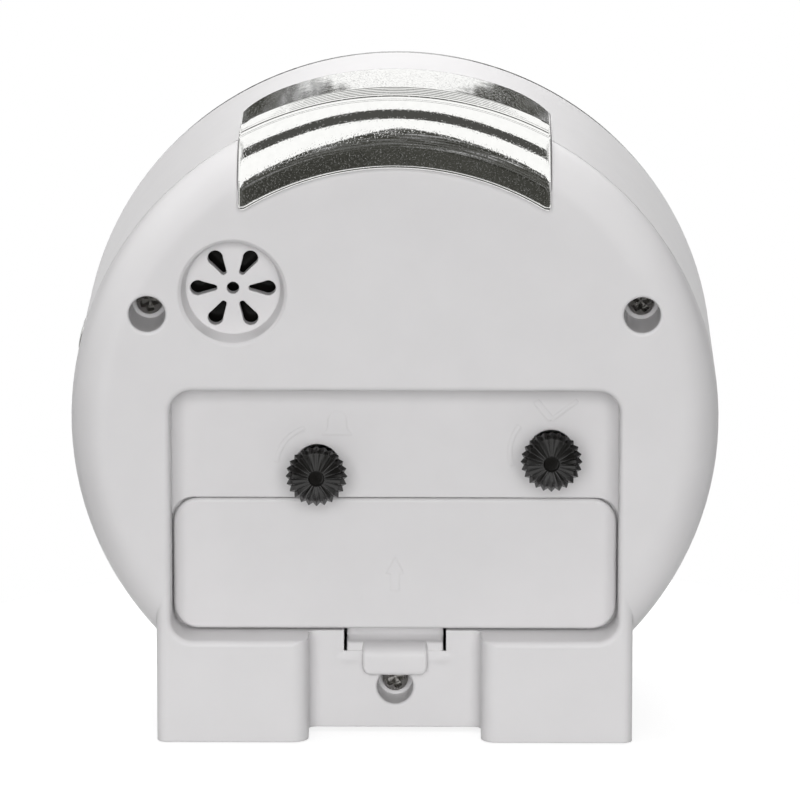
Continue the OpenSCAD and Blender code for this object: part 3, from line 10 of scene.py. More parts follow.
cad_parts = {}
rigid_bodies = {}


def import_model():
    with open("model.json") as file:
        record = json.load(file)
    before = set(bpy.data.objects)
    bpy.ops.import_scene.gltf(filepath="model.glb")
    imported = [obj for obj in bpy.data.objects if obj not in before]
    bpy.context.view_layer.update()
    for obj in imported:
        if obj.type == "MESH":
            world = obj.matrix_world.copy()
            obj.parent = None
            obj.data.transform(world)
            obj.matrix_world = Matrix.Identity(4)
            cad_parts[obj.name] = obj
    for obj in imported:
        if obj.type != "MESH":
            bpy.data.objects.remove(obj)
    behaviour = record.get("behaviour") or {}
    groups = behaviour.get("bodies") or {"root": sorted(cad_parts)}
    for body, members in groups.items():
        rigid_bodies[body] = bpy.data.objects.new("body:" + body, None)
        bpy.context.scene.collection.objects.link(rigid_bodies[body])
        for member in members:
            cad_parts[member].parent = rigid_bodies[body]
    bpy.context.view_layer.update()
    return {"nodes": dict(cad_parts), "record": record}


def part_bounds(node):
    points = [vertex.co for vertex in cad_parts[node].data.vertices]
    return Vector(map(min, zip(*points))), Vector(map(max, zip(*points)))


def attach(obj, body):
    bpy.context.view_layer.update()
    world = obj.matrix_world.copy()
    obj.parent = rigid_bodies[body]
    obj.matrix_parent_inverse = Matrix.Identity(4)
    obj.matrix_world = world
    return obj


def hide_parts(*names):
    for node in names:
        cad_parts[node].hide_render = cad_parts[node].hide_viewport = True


MM = 0.001

for spare in list(bpy.data.objects):
    bpy.data.objects.remove(spare)

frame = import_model()
nodes = frame["nodes"]
slots = {part["node"]: part["material_slot"] for part in frame["record"]["subparts"]}


def span(node):
    """Lowest and highest corner of a CAD node, in millimetres."""
    low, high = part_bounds(node)
    return low / MM, high / MM


def middle_of(node):
    low, high = span(node)
    return (low + high) / 2


AXIS_Z = middle_of("lens").z
BACK_Y = span("rear_cover")[1].y
DIAL_Y = span("dial")[0].y


# Helpers for numbers

def evenly(start, end, count):
    """Numbers at even steps from start to end, both included."""
    return [start + (end - start) * i / (count - 1) for i in range(count)]


def full_turn(count):
    """Directions at even steps once round, in radians."""
    return [2 * math.pi * i / count for i in range(count)]


def soft_drop(inside, radius):
    """How far a rounded edge of this radius lies below the face, at a distance inside the edge."""
    short = max(0.0, radius - max(0.0, inside))
    return radius - math.sqrt(radius * radius - short * short)


# Helpers for meshes

def finish_mesh(name, bm, body, material, smooth_angle=35):
    """Turns a mesh built in millimetres into a piece. Edges sharper than the angle stay sharp."""
    bmesh.ops.recalc_face_normals(bm, faces=bm.faces)
    bmesh.ops.scale(bm, vec=Vector((MM, MM, MM)), verts=bm.verts)
    mesh = bpy.data.meshes.new(name)
    bm.to_mesh(mesh)
    bm.free()
    mesh.shade_smooth()
    mesh.set_sharp_from_angle(angle=math.radians(smooth_angle))
    return add_piece(name, mesh, body, material)


def add_piece(name, mesh, body, material):
    """Adds a mesh that is in metres as a piece that rides on a body."""
    mesh.materials.clear()
    mesh.materials.append(material)
    piece = bpy.data.objects.new(name, mesh)
    bpy.context.scene.collection.objects.link(piece)
    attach(piece, body)
    return piece


def add_ring(bm, points):
    return [bm.verts.new(p) for p in points]


def bridge(bm, ring_a, ring_b, closed=True):
    count = len(ring_a)
    for i in range(count if closed else count - 1):
        j = (i + 1) % count
        bm.faces.new((ring_a[i], ring_a[j], ring_b[j], ring_b[i]))


def close_with_point(bm, ring, point):
    tip = bm.verts.new(point)
    count = len(ring)
    for i in range(count):
        bm.faces.new((ring[i], ring[(i + 1) % count], tip))


def lathe(bm, rings, first_tip=None, last_tip=None):
    """Skins rings of points one after another and closes the ends with a point each."""
    made = [add_ring(bm, points) for points in rings]
    for a, b in zip(made, made[1:]):
        bridge(bm, a, b)
    if first_tip is not None:
        close_with_point(bm, made[0], first_tip)
    if last_tip is not None:
        close_with_point(bm, made[-1], last_tip)


def skin_pair(bm, outer, inner):
    """Closed shell from two grids of points with the same rows and columns."""
    for rows in (outer, inner):
        for a, b in zip(rows, rows[1:]):
            bridge(bm, a, b, closed=False)
    for k in (0, -1):
        bridge(bm, outer[k], inner[k], closed=False)
        bridge(bm, [row[k] for row in outer], [row[k] for row in inner], closed=False)


def soften_edges(bm, radius):
    bmesh.ops.bevel(bm, geom=list(bm.edges), offset=radius, segments=2, affect="EDGES")


def add_prism(bm, outline, x_from, x_to, soft):
    """Solid with the same (y, z) outline all along X, and softened edges."""
    ends = [add_ring(bm, [(x, y, z) for y, z in outline]) for x in (x_from, x_to)]
    bridge(bm, ends[0], ends[1])
    for ring in ends:
        bm.faces.new(ring)
    soften_edges(bm, soft)


# Helpers for node materials

class Nodes:
    """Short ways to add and link shader nodes in one tree."""

    def __init__(self, tree):
        self.tree = tree
        tree.nodes.clear()

    def add(self, kind, **values):
        node = self.tree.nodes.new(kind)
        for key, value in values.items():
            setattr(node, key, value)
        return node

    def link(self, source, target):
        self.tree.links.new(source, target)

    def math(self, operation, *values):
        node = self.add("ShaderNodeMath", operation=operation)
        for socket, value in zip(node.inputs, values):
            if isinstance(value, (int, float)):
                socket.default_value = value
            else:
                self.link(value, socket)
        return node.outputs[0]

    def noise(self, vector, scale, detail=3.0, roughness=0.55):
        node = self.add("ShaderNodeTexNoise")
        node.inputs["Scale"].default_value = scale
        node.inputs["Detail"].default_value = detail
        node.inputs["Roughness"].default_value = roughness
        self.link(vector, node.inputs["Vector"])
        return node.outputs["Fac"]

    def ramp(self, factor, stops):
        node = self.add("ShaderNodeValToRGB")
        elements = node.color_ramp.elements
        while len(elements) < len(stops):
            elements.new(0.5)
        for element, (place, colour) in zip(elements, stops):
            element.position = place
            element.color = (*colour, 1.0)
        self.link(factor, node.inputs["Fac"])
        return node.outputs["Color"]

    def vary(self, vector, scale, detail, first, second, levels=(0.3, 0.7)):
        """Noise that goes from one colour to another between two of its levels."""
        return self.ramp(self.noise(vector, scale, detail), list(zip(levels, (first, second))))

    def bump(self, height, strength, distance, normal=None):
        node = self.add("ShaderNodeBump")
        node.inputs["Strength"].default_value = strength
        node.inputs["Distance"].default_value = distance
        self.link(height, node.inputs["Height"])
        if normal is not None:
            self.link(normal, node.inputs["Normal"])
        return node.outputs["Normal"]

    def mix_colours(self, factor, first, second):
        """Mix of a linked colour with a second one that is linked or given."""
        node = self.add("ShaderNodeMix", data_type="RGBA")
        sockets = {socket.identifier: socket for socket in node.inputs}
        self.link(factor, sockets["Factor_Float"])
        self.link(first, sockets["A_Color"])
        if isinstance(second, tuple):
            sockets["B_Color"].default_value = (*second, 1.0)
        else:
            self.link(second, sockets["B_Color"])
        return next(socket for socket in node.outputs if socket.identifier == "Result_Color")

    def mix_shaders(self, factor, first, second):
        node = self.add("ShaderNodeMixShader")
        self.link(factor, node.inputs["Fac"])
        self.link(first, node.inputs[1])
        self.link(second, node.inputs[2])
        return node.outputs["Shader"]


def grey(value):
    return (value, value, value)


def shaded(colour, amount):
    return tuple(c * amount for c in colour)


def new_material(name):
    material = bpy.data.materials.new(name)
    material.use_nodes = True
    build = Nodes(material.node_tree)
    out = build.add("ShaderNodeOutputMaterial")
    shader = build.add("ShaderNodeBsdfPrincipled")
    build.link(shader.outputs["BSDF"], out.inputs["Surface"])
    place = build.add("ShaderNodeTexCoord").outputs["Object"]
    return material, build, shader, place


# Materials. Noise scales are in features per metre, depths of relief in millimetres

GRAIN_DEEP = 0.04
LIGHTER_SHARE = 0.4
SMOOTHEST = 0.02
SHEEN_FINER = 4
BEVEL_SAMPLES = 4


def surface(name, colour, roughness, metallic=0.0, spread=0.05, rough_spread=0.08, tone_scale=120.0,
            grain_scale=2600.0, grain=0.12, soft_edge=0.0, gloss=0.5):
    """Moulded, painted or metal surface with a little tone, sheen and grain of its own."""
    material, build, shader, place = new_material(name)
    darker = shaded(colour, 1 - spread)
    lighter = shaded(colour, 1 + spread * LIGHTER_SHARE)
    build.link(build.vary(place, tone_scale, 4.0, darker, lighter), shader.inputs["Base Color"])
    smoother = grey(max(SMOOTHEST, roughness - rough_spread))
    rougher = grey(min(1.0, roughness + rough_spread))
    sheen = build.vary(place, tone_scale * SHEEN_FINER, 3.0, smoother, rougher)
    build.link(sheen, shader.inputs["Roughness"])
    shader.inputs["Metallic"].default_value = metallic
    shader.inputs["Specular IOR Level"].default_value = gloss
    base_normal = None
    if soft_edge:
        edge = build.add("ShaderNodeBevel", samples=BEVEL_SAMPLES)
        edge.inputs["Radius"].default_value = soft_edge * MM
        base_normal = edge.outputs["Normal"]
    fine = build.noise(place, grain_scale, 2.0)
    build.link(build.bump(fine, grain, GRAIN_DEEP * MM, base_normal), shader.inputs["Normal"])
    return material


PLATING_TONE_SCALE = 900.0
PLATING_DARKER = 0.96
PLATING_SHEEN_SCALE = 1800.0
PLATING_SMOOTHER, PLATING_ROUGHER = 0.6, 1.6
PLATING_SHEEN_LEVELS = (0.35, 0.75)
WAVE_SCALE, WAVE_DEEP = 350.0, 0.2
PIT_SCALE, PIT_DEEP = 3000.0, 0.06
SPECK_SCALE, SPECK_DEEP = 3600.0, 0.06
SPECK_LEVELS = (0.58, 0.72)


def plating_material(name, colour, roughness, wave, pits, specks=0.0):
    """Bright plating on plastic: long waves, fine pits and scattered specks bend what it mirrors."""
    material, build, shader, place = new_material(name)
    tone = build.vary(place, PLATING_TONE_SCALE, 3.0, shaded(colour, PLATING_DARKER), colour)
    build.link(tone, shader.inputs["Base Color"])
    smoother = grey(roughness * PLATING_SMOOTHER)
    rougher = grey(roughness * PLATING_ROUGHER)
    sheen = build.vary(place, PLATING_SHEEN_SCALE, 3.0, smoother, rougher, PLATING_SHEEN_LEVELS)
    build.link(sheen, shader.inputs["Roughness"])
    shader.inputs["Metallic"].default_value = 1.0
    waved = build.bump(build.noise(place, WAVE_SCALE, 2.0), wave, WAVE_DEEP * MM)
    pitted = build.bump(build.noise(place, PIT_SCALE, 2.0, 0.6), pits, PIT_DEEP * MM, waved)
    spots = build.vary(place, SPECK_SCALE, 1.0, grey(0.0), grey(1.0), SPECK_LEVELS)
    build.link(build.bump(spots, specks, SPECK_DEEP * MM, pitted), shader.inputs["Normal"])
    return material


LENS_IOR = 1.46
HAZE_SCALE, HAZE_MOST = 60.0, 0.03
HAZE_LEVELS = (0.3, 0.8)
SCRATCH_SCALE, SCRATCH_DEEP = 240.0, 0.05
SCRATCH_STRENGTH = 0.02


def glass_material(name, colour):
    """Clear lens that lets light through to the dial behind it."""
    material, build, shader, place = new_material(name)
    shader.inputs["Base Color"].default_value = (*colour, 1.0)
    shader.inputs["Transmission Weight"].default_value = 1.0
    shader.inputs["IOR"].default_value = LENS_IOR
    haze = build.vary(place, HAZE_SCALE, 4.0, grey(0.0), grey(HAZE_MOST), HAZE_LEVELS)
    build.link(haze, shader.inputs["Roughness"])
    scratch = build.noise(place, SCRATCH_SCALE, 3.0)
    build.link(build.bump(scratch, SCRATCH_STRENGTH, SCRATCH_DEEP * MM), shader.inputs["Normal"])
    clear = build.add("ShaderNodeBsdfTransparent")
    path = build.add("ShaderNodeLightPath")
    passed = build.math("MAXIMUM", path.outputs["Is Shadow Ray"], path.outputs["Is Diffuse Ray"])
    mixed = build.mix_shaders(passed, shader.outputs["BSDF"], clear.outputs["BSDF"])
    out = next(n for n in build.tree.nodes if n.bl_idname == "ShaderNodeOutputMaterial")
    build.link(mixed, out.inputs["Surface"])
    return material


BAND_SHARPNESS = 4000.0
FILM_SHEEN_SCALE = 500.0
FILM_SMOOTHER, FILM_ROUGHER = 0.18, 0.3
FILM_METALLIC = 0.6
FILM_GRAIN_SCALE, FILM_GRAIN = 900.0, 0.05


def sleeve_material(name, dark, bright, band_x):
    """Printed film on the cell: one plain colour, and another towards the end with the cap."""
    material, build, shader, place = new_material(name)
    parts = build.add("ShaderNodeSeparateXYZ")
    build.link(place, parts.inputs["Vector"])
    along = build.math("SUBTRACT", parts.outputs["X"], band_x * MM)
    edge = build.math("MULTIPLY", along, BAND_SHARPNESS)
    build.link(build.ramp(edge, [(0.0, dark), (1.0, bright)]), shader.inputs["Base Color"])
    sheen = build.vary(place, FILM_SHEEN_SCALE, 3.0, grey(FILM_SMOOTHER), grey(FILM_ROUGHER))
    build.link(sheen, shader.inputs["Roughness"])
    shader.inputs["Metallic"].default_value = FILM_METALLIC
    fine = build.noise(place, FILM_GRAIN_SCALE, 2.0)
    build.link(build.bump(fine, FILM_GRAIN, GRAIN_DEEP * MM), shader.inputs["Normal"])
    return material


CASE_WHITE = (0.668, 0.658, 0.664)
CASE_LOOK = {"roughness": 0.36, "spread": 0.02, "rough_spread": 0.03, "grain": 0.03}
PLATING = (0.95, 0.95, 0.94)
looks = {
    "case_plastic": surface("moulded_case", CASE_WHITE, soft_edge=0.35, **CASE_LOOK),
    "plating": plating_material("bright_plating", PLATING, 0.012, wave=0.05, pits=0.03, specks=0.1),
    "lens_clear": glass_material("clear_lens", (0.96, 0.98, 0.98)),
    "dial_card": surface("dial_card", (0.86, 0.86, 0.83), 0.6, spread=0.02, grain_scale=5000.0, grain=0.1),
    "surround_plastic": surface("surround", (0.72, 0.72, 0.70), 0.4, spread=0.03),
    "hand_black": surface("black_paint", (0.012, 0.012, 0.013), 0.4, spread=0.2, grain=0.05),
    "hand_red": surface("red_paint", (0.55, 0.02, 0.015), 0.4, spread=0.1, grain=0.05),
    "hand_gold": surface("gold_hand", (0.72, 0.50, 0.18), 0.3, metallic=1.0, spread=0.06, grain=0.05),
    "black_plastic": surface("black_plastic", (0.006, 0.0055, 0.005), 0.2, spread=0.2, grain=0.04, gloss=0.6),
    "nylon": surface("white_nylon", (0.80, 0.79, 0.73), 0.45, spread=0.03),
    "middle_plastic": surface("grey_moulding", (0.52, 0.52, 0.48), 0.5),
    "steel": surface("bright_steel", (0.50, 0.49, 0.46), 0.22, metallic=1.0, spread=0.15, grain=0.2),
    "brass": surface("brass", (0.75, 0.55, 0.22), 0.3, metallic=1.0, spread=0.1),
    "magnet": surface("magnet", (0.10, 0.10, 0.11), 0.55, spread=0.2),
    "bobbin_green": surface("bobbin_green", (0.05, 0.17, 0.075), 0.45),
    "copper": surface("copper_wire", (0.60, 0.20, 0.08), 0.35, metallic=1.0, grain=0.5, grain_scale=1200.0),
    "board_green": surface("circuit_lacquer", (0.02, 0.13, 0.04), 0.35, spread=0.15),
    "chip_black": surface("cured_drop", (0.008, 0.008, 0.008), 0.22, spread=0.2),
    "cell_sleeve": sleeve_material("cell_film", (0.03, 0.033, 0.04), (0.62, 0.36, 0.12), band_x=14.0),
    "lead_red": surface("red_insulation", (0.50, 0.02, 0.015), 0.5),
    "lead_black": surface("black_insulation", (0.010, 0.010, 0.012), 0.5),
    "lead_blue": surface("blue_insulation", (0.03, 0.07, 0.33), 0.5),
}
bezel_plating = plating_material("bezel_plating", (0.60, 0.60, 0.61), 0.16, wave=0.015, pits=0.01)
case_smooth = surface("moulded_case_smooth", CASE_WHITE, **CASE_LOOK)
screw_steel = surface("screw_steel", (0.48, 0.47, 0.45), 0.3, metallic=1.0, spread=0.2, grain=0.2)
print_black = surface("dial_print", (0.012, 0.012, 0.014), 0.55, spread=0.15, grain=0.1)
lume_green = surface("luminous_paint", (0.62, 0.72, 0.50), 0.65, spread=0.06, grain=0.3)

for name, piece in nodes.items():
    piece.data.materials.clear()
    piece.data.materials.append(bezel_plating if name == "front_bezel" else looks[slots[name]])


# Setting knobs: pointed teeth round a ridged cone, turned as one piece with the neck

KNOB_TEETH = 24
RIDGE_HALF = 0.035
GROOVE_HALF = 0.02
# Radius and distance from the outer end, on a ridge and then in a groove, from the middle outwards
KNOB_ROWS = [
    (1.30, 0.00, 1.30, 0.09),
    (1.42, 0.03, 1.42, 0.15),
    (3.82, 0.80, 3.66, 1.06),
    (3.92, 0.87, 3.76, 1.17),
    (4.69, 1.60, 4.26, 1.88),
    (4.75, 1.70, 4.32, 1.98),
    (4.70, 1.80, 4.28, 2.08),
    (3.05, 3.05, 3.05, 3.05),
    (2.95, 3.10, 2.95, 3.10),
]
KNOB_DISH = [(0.85, 0.62), (1.08, 0.58), (1.17, 0.45), (1.22, 0.12), (1.26, 0.04)]
KNOB_NECK_R = 2.6
KNOB_NECK_SOFT = 0.15
KNOB_BORE_R = 1.5
KNOB_BORE_DEPTH = 3.0


def knob_turns():
    """Directions of one ring, each with whether it lies on a ridge."""
    for tooth in range(KNOB_TEETH):
        for share, on_ridge in ((-RIDGE_HALF, True), (RIDGE_HALF, True),
                                (0.5 - GROOVE_HALF, False), (0.5 + GROOVE_HALF, False)):
            yield 2 * math.pi * (tooth + share) / KNOB_TEETH, on_ridge


def make_knob(name, node, body):
    low, high = span(node)
    x, z = middle_of(node).x, middle_of(node).z

    def ring(ridge_r, ridge_back, groove_r, groove_back):
        points = []
        for turn, on_ridge in knob_turns():
            radius, back = (ridge_r, ridge_back) if on_ridge else (groove_r, groove_back)
            points.append((x + radius * math.cos(turn), high.y - back, z + radius * math.sin(turn)))
        return points

    length = high.y - low.y
    plain = [
        (KNOB_NECK_R, KNOB_ROWS[-1][1]),
        (KNOB_NECK_R, length - KNOB_NECK_SOFT),
        (KNOB_NECK_R - KNOB_NECK_SOFT, length),
        (KNOB_BORE_R, length),
        (KNOB_BORE_R, length - KNOB_BORE_DEPTH),
    ]
    rings = [ring(r, b, r, b) for r, b in KNOB_DISH]
    rings += [ring(*row) for row in KNOB_ROWS]
    rings += [ring(r, b, r, b) for r, b in plain]
    bm = bmesh.new()
    lathe(bm, rings, (x, high.y - KNOB_DISH[0][1], z), (x, low.y + KNOB_BORE_DEPTH, z))
    piece = finish_mesh(name, bm, body, looks["black_plastic"], smooth_angle=24)
    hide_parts(node)


make_knob("time_knob_ribbed", "time_set_knob", "time_set")
make_knob("alarm_knob_ribbed", "alarm_set_knob", "alarm_set")


# Snooze bar: a plated shell over the top rear edge, with grip ribs and a beaded lower edge

BAR_LOW, BAR_HIGH = span("snooze_bar")
BAR_SIDE_GROW = 0.25
BAR_HALF = BAR_HIGH.x + BAR_SIDE_GROW
BAR_FRONT_Y = BAR_LOW.y
BAR_BEAD = 0.2
BAR_Y = BAR_HIGH.y - BAR_BEAD
BAR_EDGE_R = 7.0
BAR_R = 51.0
BAR_T = 1.15
BAR_CORNER_R = 7.0
BAR_SOFT = 0.28
BAR_CURVE_Y = BAR_Y - BAR_EDGE_R
BAR_CURVE_R = BAR_R - BAR_EDGE_R
# The lower edge is an arc a little flatter than one about the clock's axis
BAR_LOWER_UP = 40.9
BAR_LOWER_R = 43.8
BAR_LOWER_CORNER = 1.0
BEAD_R = 0.3
RIB_COUNT = 7
RIB_PITCH = 1.31
RIBS_BEHIND = 1.68
RIB_H = 0.18
RIB_HALF = 0.28
# The crown rises a touch towards its front edge
CROWN_RISE = 0.1
CROWN_FROM_Y = 10.0
# Where the section has points: shares of the crown and turns of the rounding, close together over the ribs
CROWN_FRONT_SHARES = [0.0, 0.002, 0.005, 0.01, 0.016, 0.021]
CROWN_PLAIN_SHARES = evenly(0.03, 0.7, 12)
CROWN_RIB_SHARES = evenly(0.705, 1.0, 125)
CURVE_RIB_TURNS = evenly(0.007, 0.4, 56)
CURVE_PLAIN_TURNS = evenly(0.42, math.pi / 2, 40)
SKIRT_SHARES = evenly(0.05, 1.0, 8)
BEAD_STEPS = 12
BAR_SIDE_STEPS = 7
BAR_COLUMNS = 61
BAR_COLUMN_GAP = 0.6


def bar_front(x):
    over = max(0.0, abs(x) - (BAR_HALF - BAR_CORNER_R))
    return BAR_FRONT_Y + soft_drop(BAR_CORNER_R - over, BAR_CORNER_R)


def bar_lower_r(x):
    """Distance from the clock's axis to the bar's lower edge, at this place from side to side."""
    up = BAR_LOWER_UP - BAR_LOWER_R + math.sqrt(BAR_LOWER_R ** 2 - x * x)
    up += soft_drop(BAR_HALF - abs(x), BAR_LOWER_CORNER)
    return math.hypot(x, up)


def rib_height(along):
    """Height of the grip ribs at a distance along the section, forward of the rear rounding."""
    nearest = min(max(round(along / RIB_PITCH + RIBS_BEHIND), 0), RIB_COUNT - 1)
    off = abs(along - (nearest - RIBS_BEHIND) * RIB_PITCH)
    return RIB_H * math.cos(math.pi * off / (2 * RIB_HALF)) ** 2 if off < RIB_HALF else 0.0


# A station gives, at a place from side to side: y, distance from the axis, outward direction and lift

def crown_station(share):
    """On the crown, from the front edge back."""
    def at(x):
        front = bar_front(x)
        y = front + share * (BAR_CURVE_Y - front)
        rise = CROWN_RISE * max(0.0, (CROWN_FROM_Y - y) / (CROWN_FROM_Y - BAR_FRONT_Y)) ** 2
        lift = rise + rib_height(BAR_CURVE_Y - y) - soft_drop(y - front, BAR_SOFT)
        return y, BAR_R, 0.0, 1.0, lift
    return at


def curve_station(turn):
    """On the rear rounding, from the crown down to the skirt."""
    def at(x):
        lift = rib_height(-turn * BAR_EDGE_R)
        y = BAR_CURVE_Y + BAR_EDGE_R * math.sin(turn)
        return y, BAR_CURVE_R + BAR_EDGE_R * math.cos(turn), math.sin(turn), math.cos(turn), lift
    return at


def skirt_station(share):
    """On the flat skirt, from the rounding down to the bead."""
    def at(x):
        low = bar_lower_r(x) + 2 * BEAD_R
        return BAR_Y, BAR_CURVE_R + share * (low - BAR_CURVE_R), 1.0, 0.0, 0.0
    return at


def bead_station(turn):
    """On the bead: the turn goes from its upper side, over its back, to its underside."""
    def at(x):
        y = BAR_Y + BAR_BEAD - BEAD_R + BEAD_R * math.cos(turn)
        return y, bar_lower_r(x) + BEAD_R + BEAD_R * math.sin(turn), 1.0, 0.0, 0.0
    return at


def make_bar():
    bead_start = math.acos(1 - BAR_BEAD / BEAD_R)
    stations = [crown_station(s) for s in CROWN_FRONT_SHARES + CROWN_PLAIN_SHARES + CROWN_RIB_SHARES]
    stations += [curve_station(t) for t in CURVE_RIB_TURNS + CURVE_PLAIN_TURNS]
    stations += [skirt_station(s) for s in SKIRT_SHARES]
    stations += [bead_station(t) for t in evenly(bead_start, -math.pi / 2, BEAD_STEPS)]
    side = [BAR_HALF - BAR_SOFT * (1 - math.sin(t)) for t in evenly(0.0, math.pi / 2, BAR_SIDE_STEPS)]
    inside = BAR_HALF - BAR_SOFT - BAR_COLUMN_GAP
    columns = [-x for x in reversed(side)] + evenly(-inside, inside, BAR_COLUMNS) + side
    bm = bmesh.new()
    outer, inner = [], []
    for station in stations:
        outer_row, inner_row = [], []
        for x in columns:
            y, r, out_y, out_r, lift = station(x)
            lift -= soft_drop(BAR_HALF - abs(x), BAR_SOFT)
            for row, step in ((outer_row, lift), (inner_row, -BAR_T)):
                reach = r + step * out_r
                row.append(bm.verts.new((x, y + step * out_y, AXIS_Z + math.sqrt(reach * reach - x * x))))
        outer.append(outer_row)
        inner.append(inner_row)
    skin_pair(bm, outer, inner)
    piece = finish_mesh("snooze_bar_plated", bm, "snooze", looks["plating"], smooth_angle=50)
    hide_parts("snooze_bar")


STEM_W, STEM_DEPTH = 5.0, 4.0
STEM_BEHIND_FRONT = 9.0
STEM_GAP = 0.05
STEM_SOFT = 0.18
FLANGE_W, FLANGE_T = 9.0, 1.2
FLANGE_UP = 2.2


def make_bar_stem():
    """Stem under the bar, with the flange that keeps it in the case."""
    stem_y = BAR_FRONT_Y + STEM_BEHIND_FRONT
    top = AXIS_Z + BAR_R - BAR_T - STEM_GAP
    flange_top = BAR_LOW.z + FLANGE_UP + FLANGE_T
    levels = [
        (STEM_W, BAR_LOW.z),
        (STEM_W, flange_top - FLANGE_T),
        (FLANGE_W, flange_top - FLANGE_T),
        (FLANGE_W, flange_top),
        (STEM_W, flange_top),
        (STEM_W, top),
    ]
    bm = bmesh.new()
    rings = []
    for w, z in levels:
        rings.append(add_ring(bm, [(sx * w / 2, stem_y + sy * STEM_DEPTH / 2, z)
                                   for sx, sy in ((-1, -1), (1, -1), (1, 1), (-1, 1))]))
    for a, b in zip(rings, rings[1:]):
        bridge(bm, a, b)
    bm.faces.new(rings[0])
    bm.faces.new(rings[-1])
    soften_edges(bm, STEM_SOFT)
    finish_mesh("snooze_bar_stem", bm, "snooze", looks["plating"])


make_bar()
make_bar_stem()


# Case screws: pan heads with a cross recess, on threaded shanks

SCREW_STEPS = 96
SCREW_HEAD_R = 2.0
SCREW_HEAD_H = 1.6
SCREW_HEAD_SOFT = 0.1
SCREW_FACE_R = 1.78
SCREW_DOME_R = 3.2
SCREW_SHANK_R = 1.08
SCREW_SHANK_RINGS = 110
SCREW_TIP = 1.6
SCREW_GAP = 0.05
SCREW_PITCH = 0.8
SCREW_THREAD = 0.22
THREAD_STEEP = 2.5
CROSS_REACH = 1.45
CROSS_HALF = 0.56
CROSS_DEEP = 1.9
CROSS_SOFT = 6
# Rim, walls and floor of the recess: share of its reach, what is added to that, and depth below the dome
CROSS_ROWS = [(1.0, 0.13, 0.0), (1.0, 0.06, 0.03), (1.0, 0.0, 0.11), (0.95, -0.03, 0.9), (0.85, -0.05, 1.5)]
CROSS_FLOOR_R = 0.2
LEAST_SINE = 0.001


def part_box(node, keep):
    """Box of those points of a CAD node that pass a test."""
    points = [v.co / MM for v in nodes[node].data.vertices if keep(v.co / MM)]
    low = Vector([min(p[k] for p in points) for k in range(3)])
    high = Vector([max(p[k] for p in points) for k in range(3)])
    return low, high


def cross_reach(turn):
    """Reach of the cross recess in one direction, with rounded corners."""
    off = (turn + math.pi / 4) % (math.pi / 2) - math.pi / 4
    end = CROSS_REACH / math.cos(off)
    side = CROSS_HALF / max(abs(math.sin(off)), LEAST_SINE)
    return (end ** -CROSS_SOFT + side ** -CROSS_SOFT) ** (-1 / CROSS_SOFT)


def dome_drop(radius):
    return SCREW_DOME_R - math.sqrt(SCREW_DOME_R ** 2 - radius ** 2)


def thread_r(turn, back):
    """Radius of the threaded shank, a ridge that winds once for each pitch."""
    phase = (back / SCREW_PITCH + turn / (2 * math.pi)) % 1.0
    return SCREW_SHANK_R - SCREW_THREAD * min(1.0, THREAD_STEEP * abs(phase - 0.5))


def add_screw(bm, low, high, head_turn):
    x, z = (low.x + high.x) / 2, (low.z + high.z) / 2
    length = high.y - low.y

    def ring(radius, back):
        points = []
        for turn in full_turn(SCREW_STEPS):
            r, b = radius(turn), back(turn)
            points.append((x + r * math.cos(turn), high.y - b, z + r * math.sin(turn)))
        return points

    def plain(radius, back):
        return ring(lambda turn: radius, lambda turn: back)

    def cross(share, rim, deeper):
        def reach(turn):
            return share * cross_reach(turn + head_turn) + rim
        return ring(reach, lambda turn: dome_drop(reach(turn)) + deeper)

    def shank(back):
        taper = min(1.0, (length - back) / SCREW_TIP)
        return ring(lambda turn: taper * thread_r(turn, back), lambda turn: back)

    # Underside, side and rounded edge of the head, as radius and distance from its highest point
    side = dome_drop(SCREW_HEAD_R)
    head = [
        (SCREW_SHANK_R, SCREW_HEAD_H),
        (SCREW_HEAD_R - SCREW_HEAD_SOFT, SCREW_HEAD_H),
        (SCREW_HEAD_R, SCREW_HEAD_H - SCREW_HEAD_SOFT),
        (SCREW_HEAD_R, side + 0.12),
        (SCREW_HEAD_R - 0.03, side + 0.04),
        (SCREW_HEAD_R - SCREW_HEAD_SOFT, dome_drop(SCREW_HEAD_R - SCREW_HEAD_SOFT)),
        (SCREW_FACE_R, dome_drop(SCREW_FACE_R)),
    ]
    backs = evenly(length - SCREW_GAP, SCREW_HEAD_H + SCREW_GAP, SCREW_SHANK_RINGS)
    rings = [shank(back) for back in backs]
    rings += [plain(radius, back) for radius, back in head]
    rings += [cross(*row) for row in CROSS_ROWS]
    rings += [plain(CROSS_FLOOR_R, CROSS_DEEP - SCREW_GAP)]
    lathe(bm, rings, (x, low.y, z), (x, high.y - CROSS_DEEP, z))


def make_screws():
    aside = SCREW_HEAD_R * 2
    # Which points belong to each screw, and how its head was left turned, in degrees
    screws = [
        (lambda p: p.x > aside, 12),
        (lambda p: p.x < -aside, 38),
        (lambda p: abs(p.x) < aside, 25),
    ]
    bm = bmesh.new()
    for keep, turn in screws:
        low, high = part_box("case_screws", keep)
        add_screw(bm, low, high, math.radians(turn))
    piece = finish_mesh("case_screws_threaded", bm, "case", screw_steel, smooth_angle=32)
    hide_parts("case_screws")


make_screws()


# Latch of the battery door: a bent arm and a tab for a finger, over a low swelling of the panel

DOOR_LOW_Z = span("battery_door")[0].z
PANEL_Y = span("battery_door")[1].y
LATCH_LOW, LATCH_HIGH = span("door_latch")
ARM_HOOK = 2.38
ARM_SOFT = 0.12


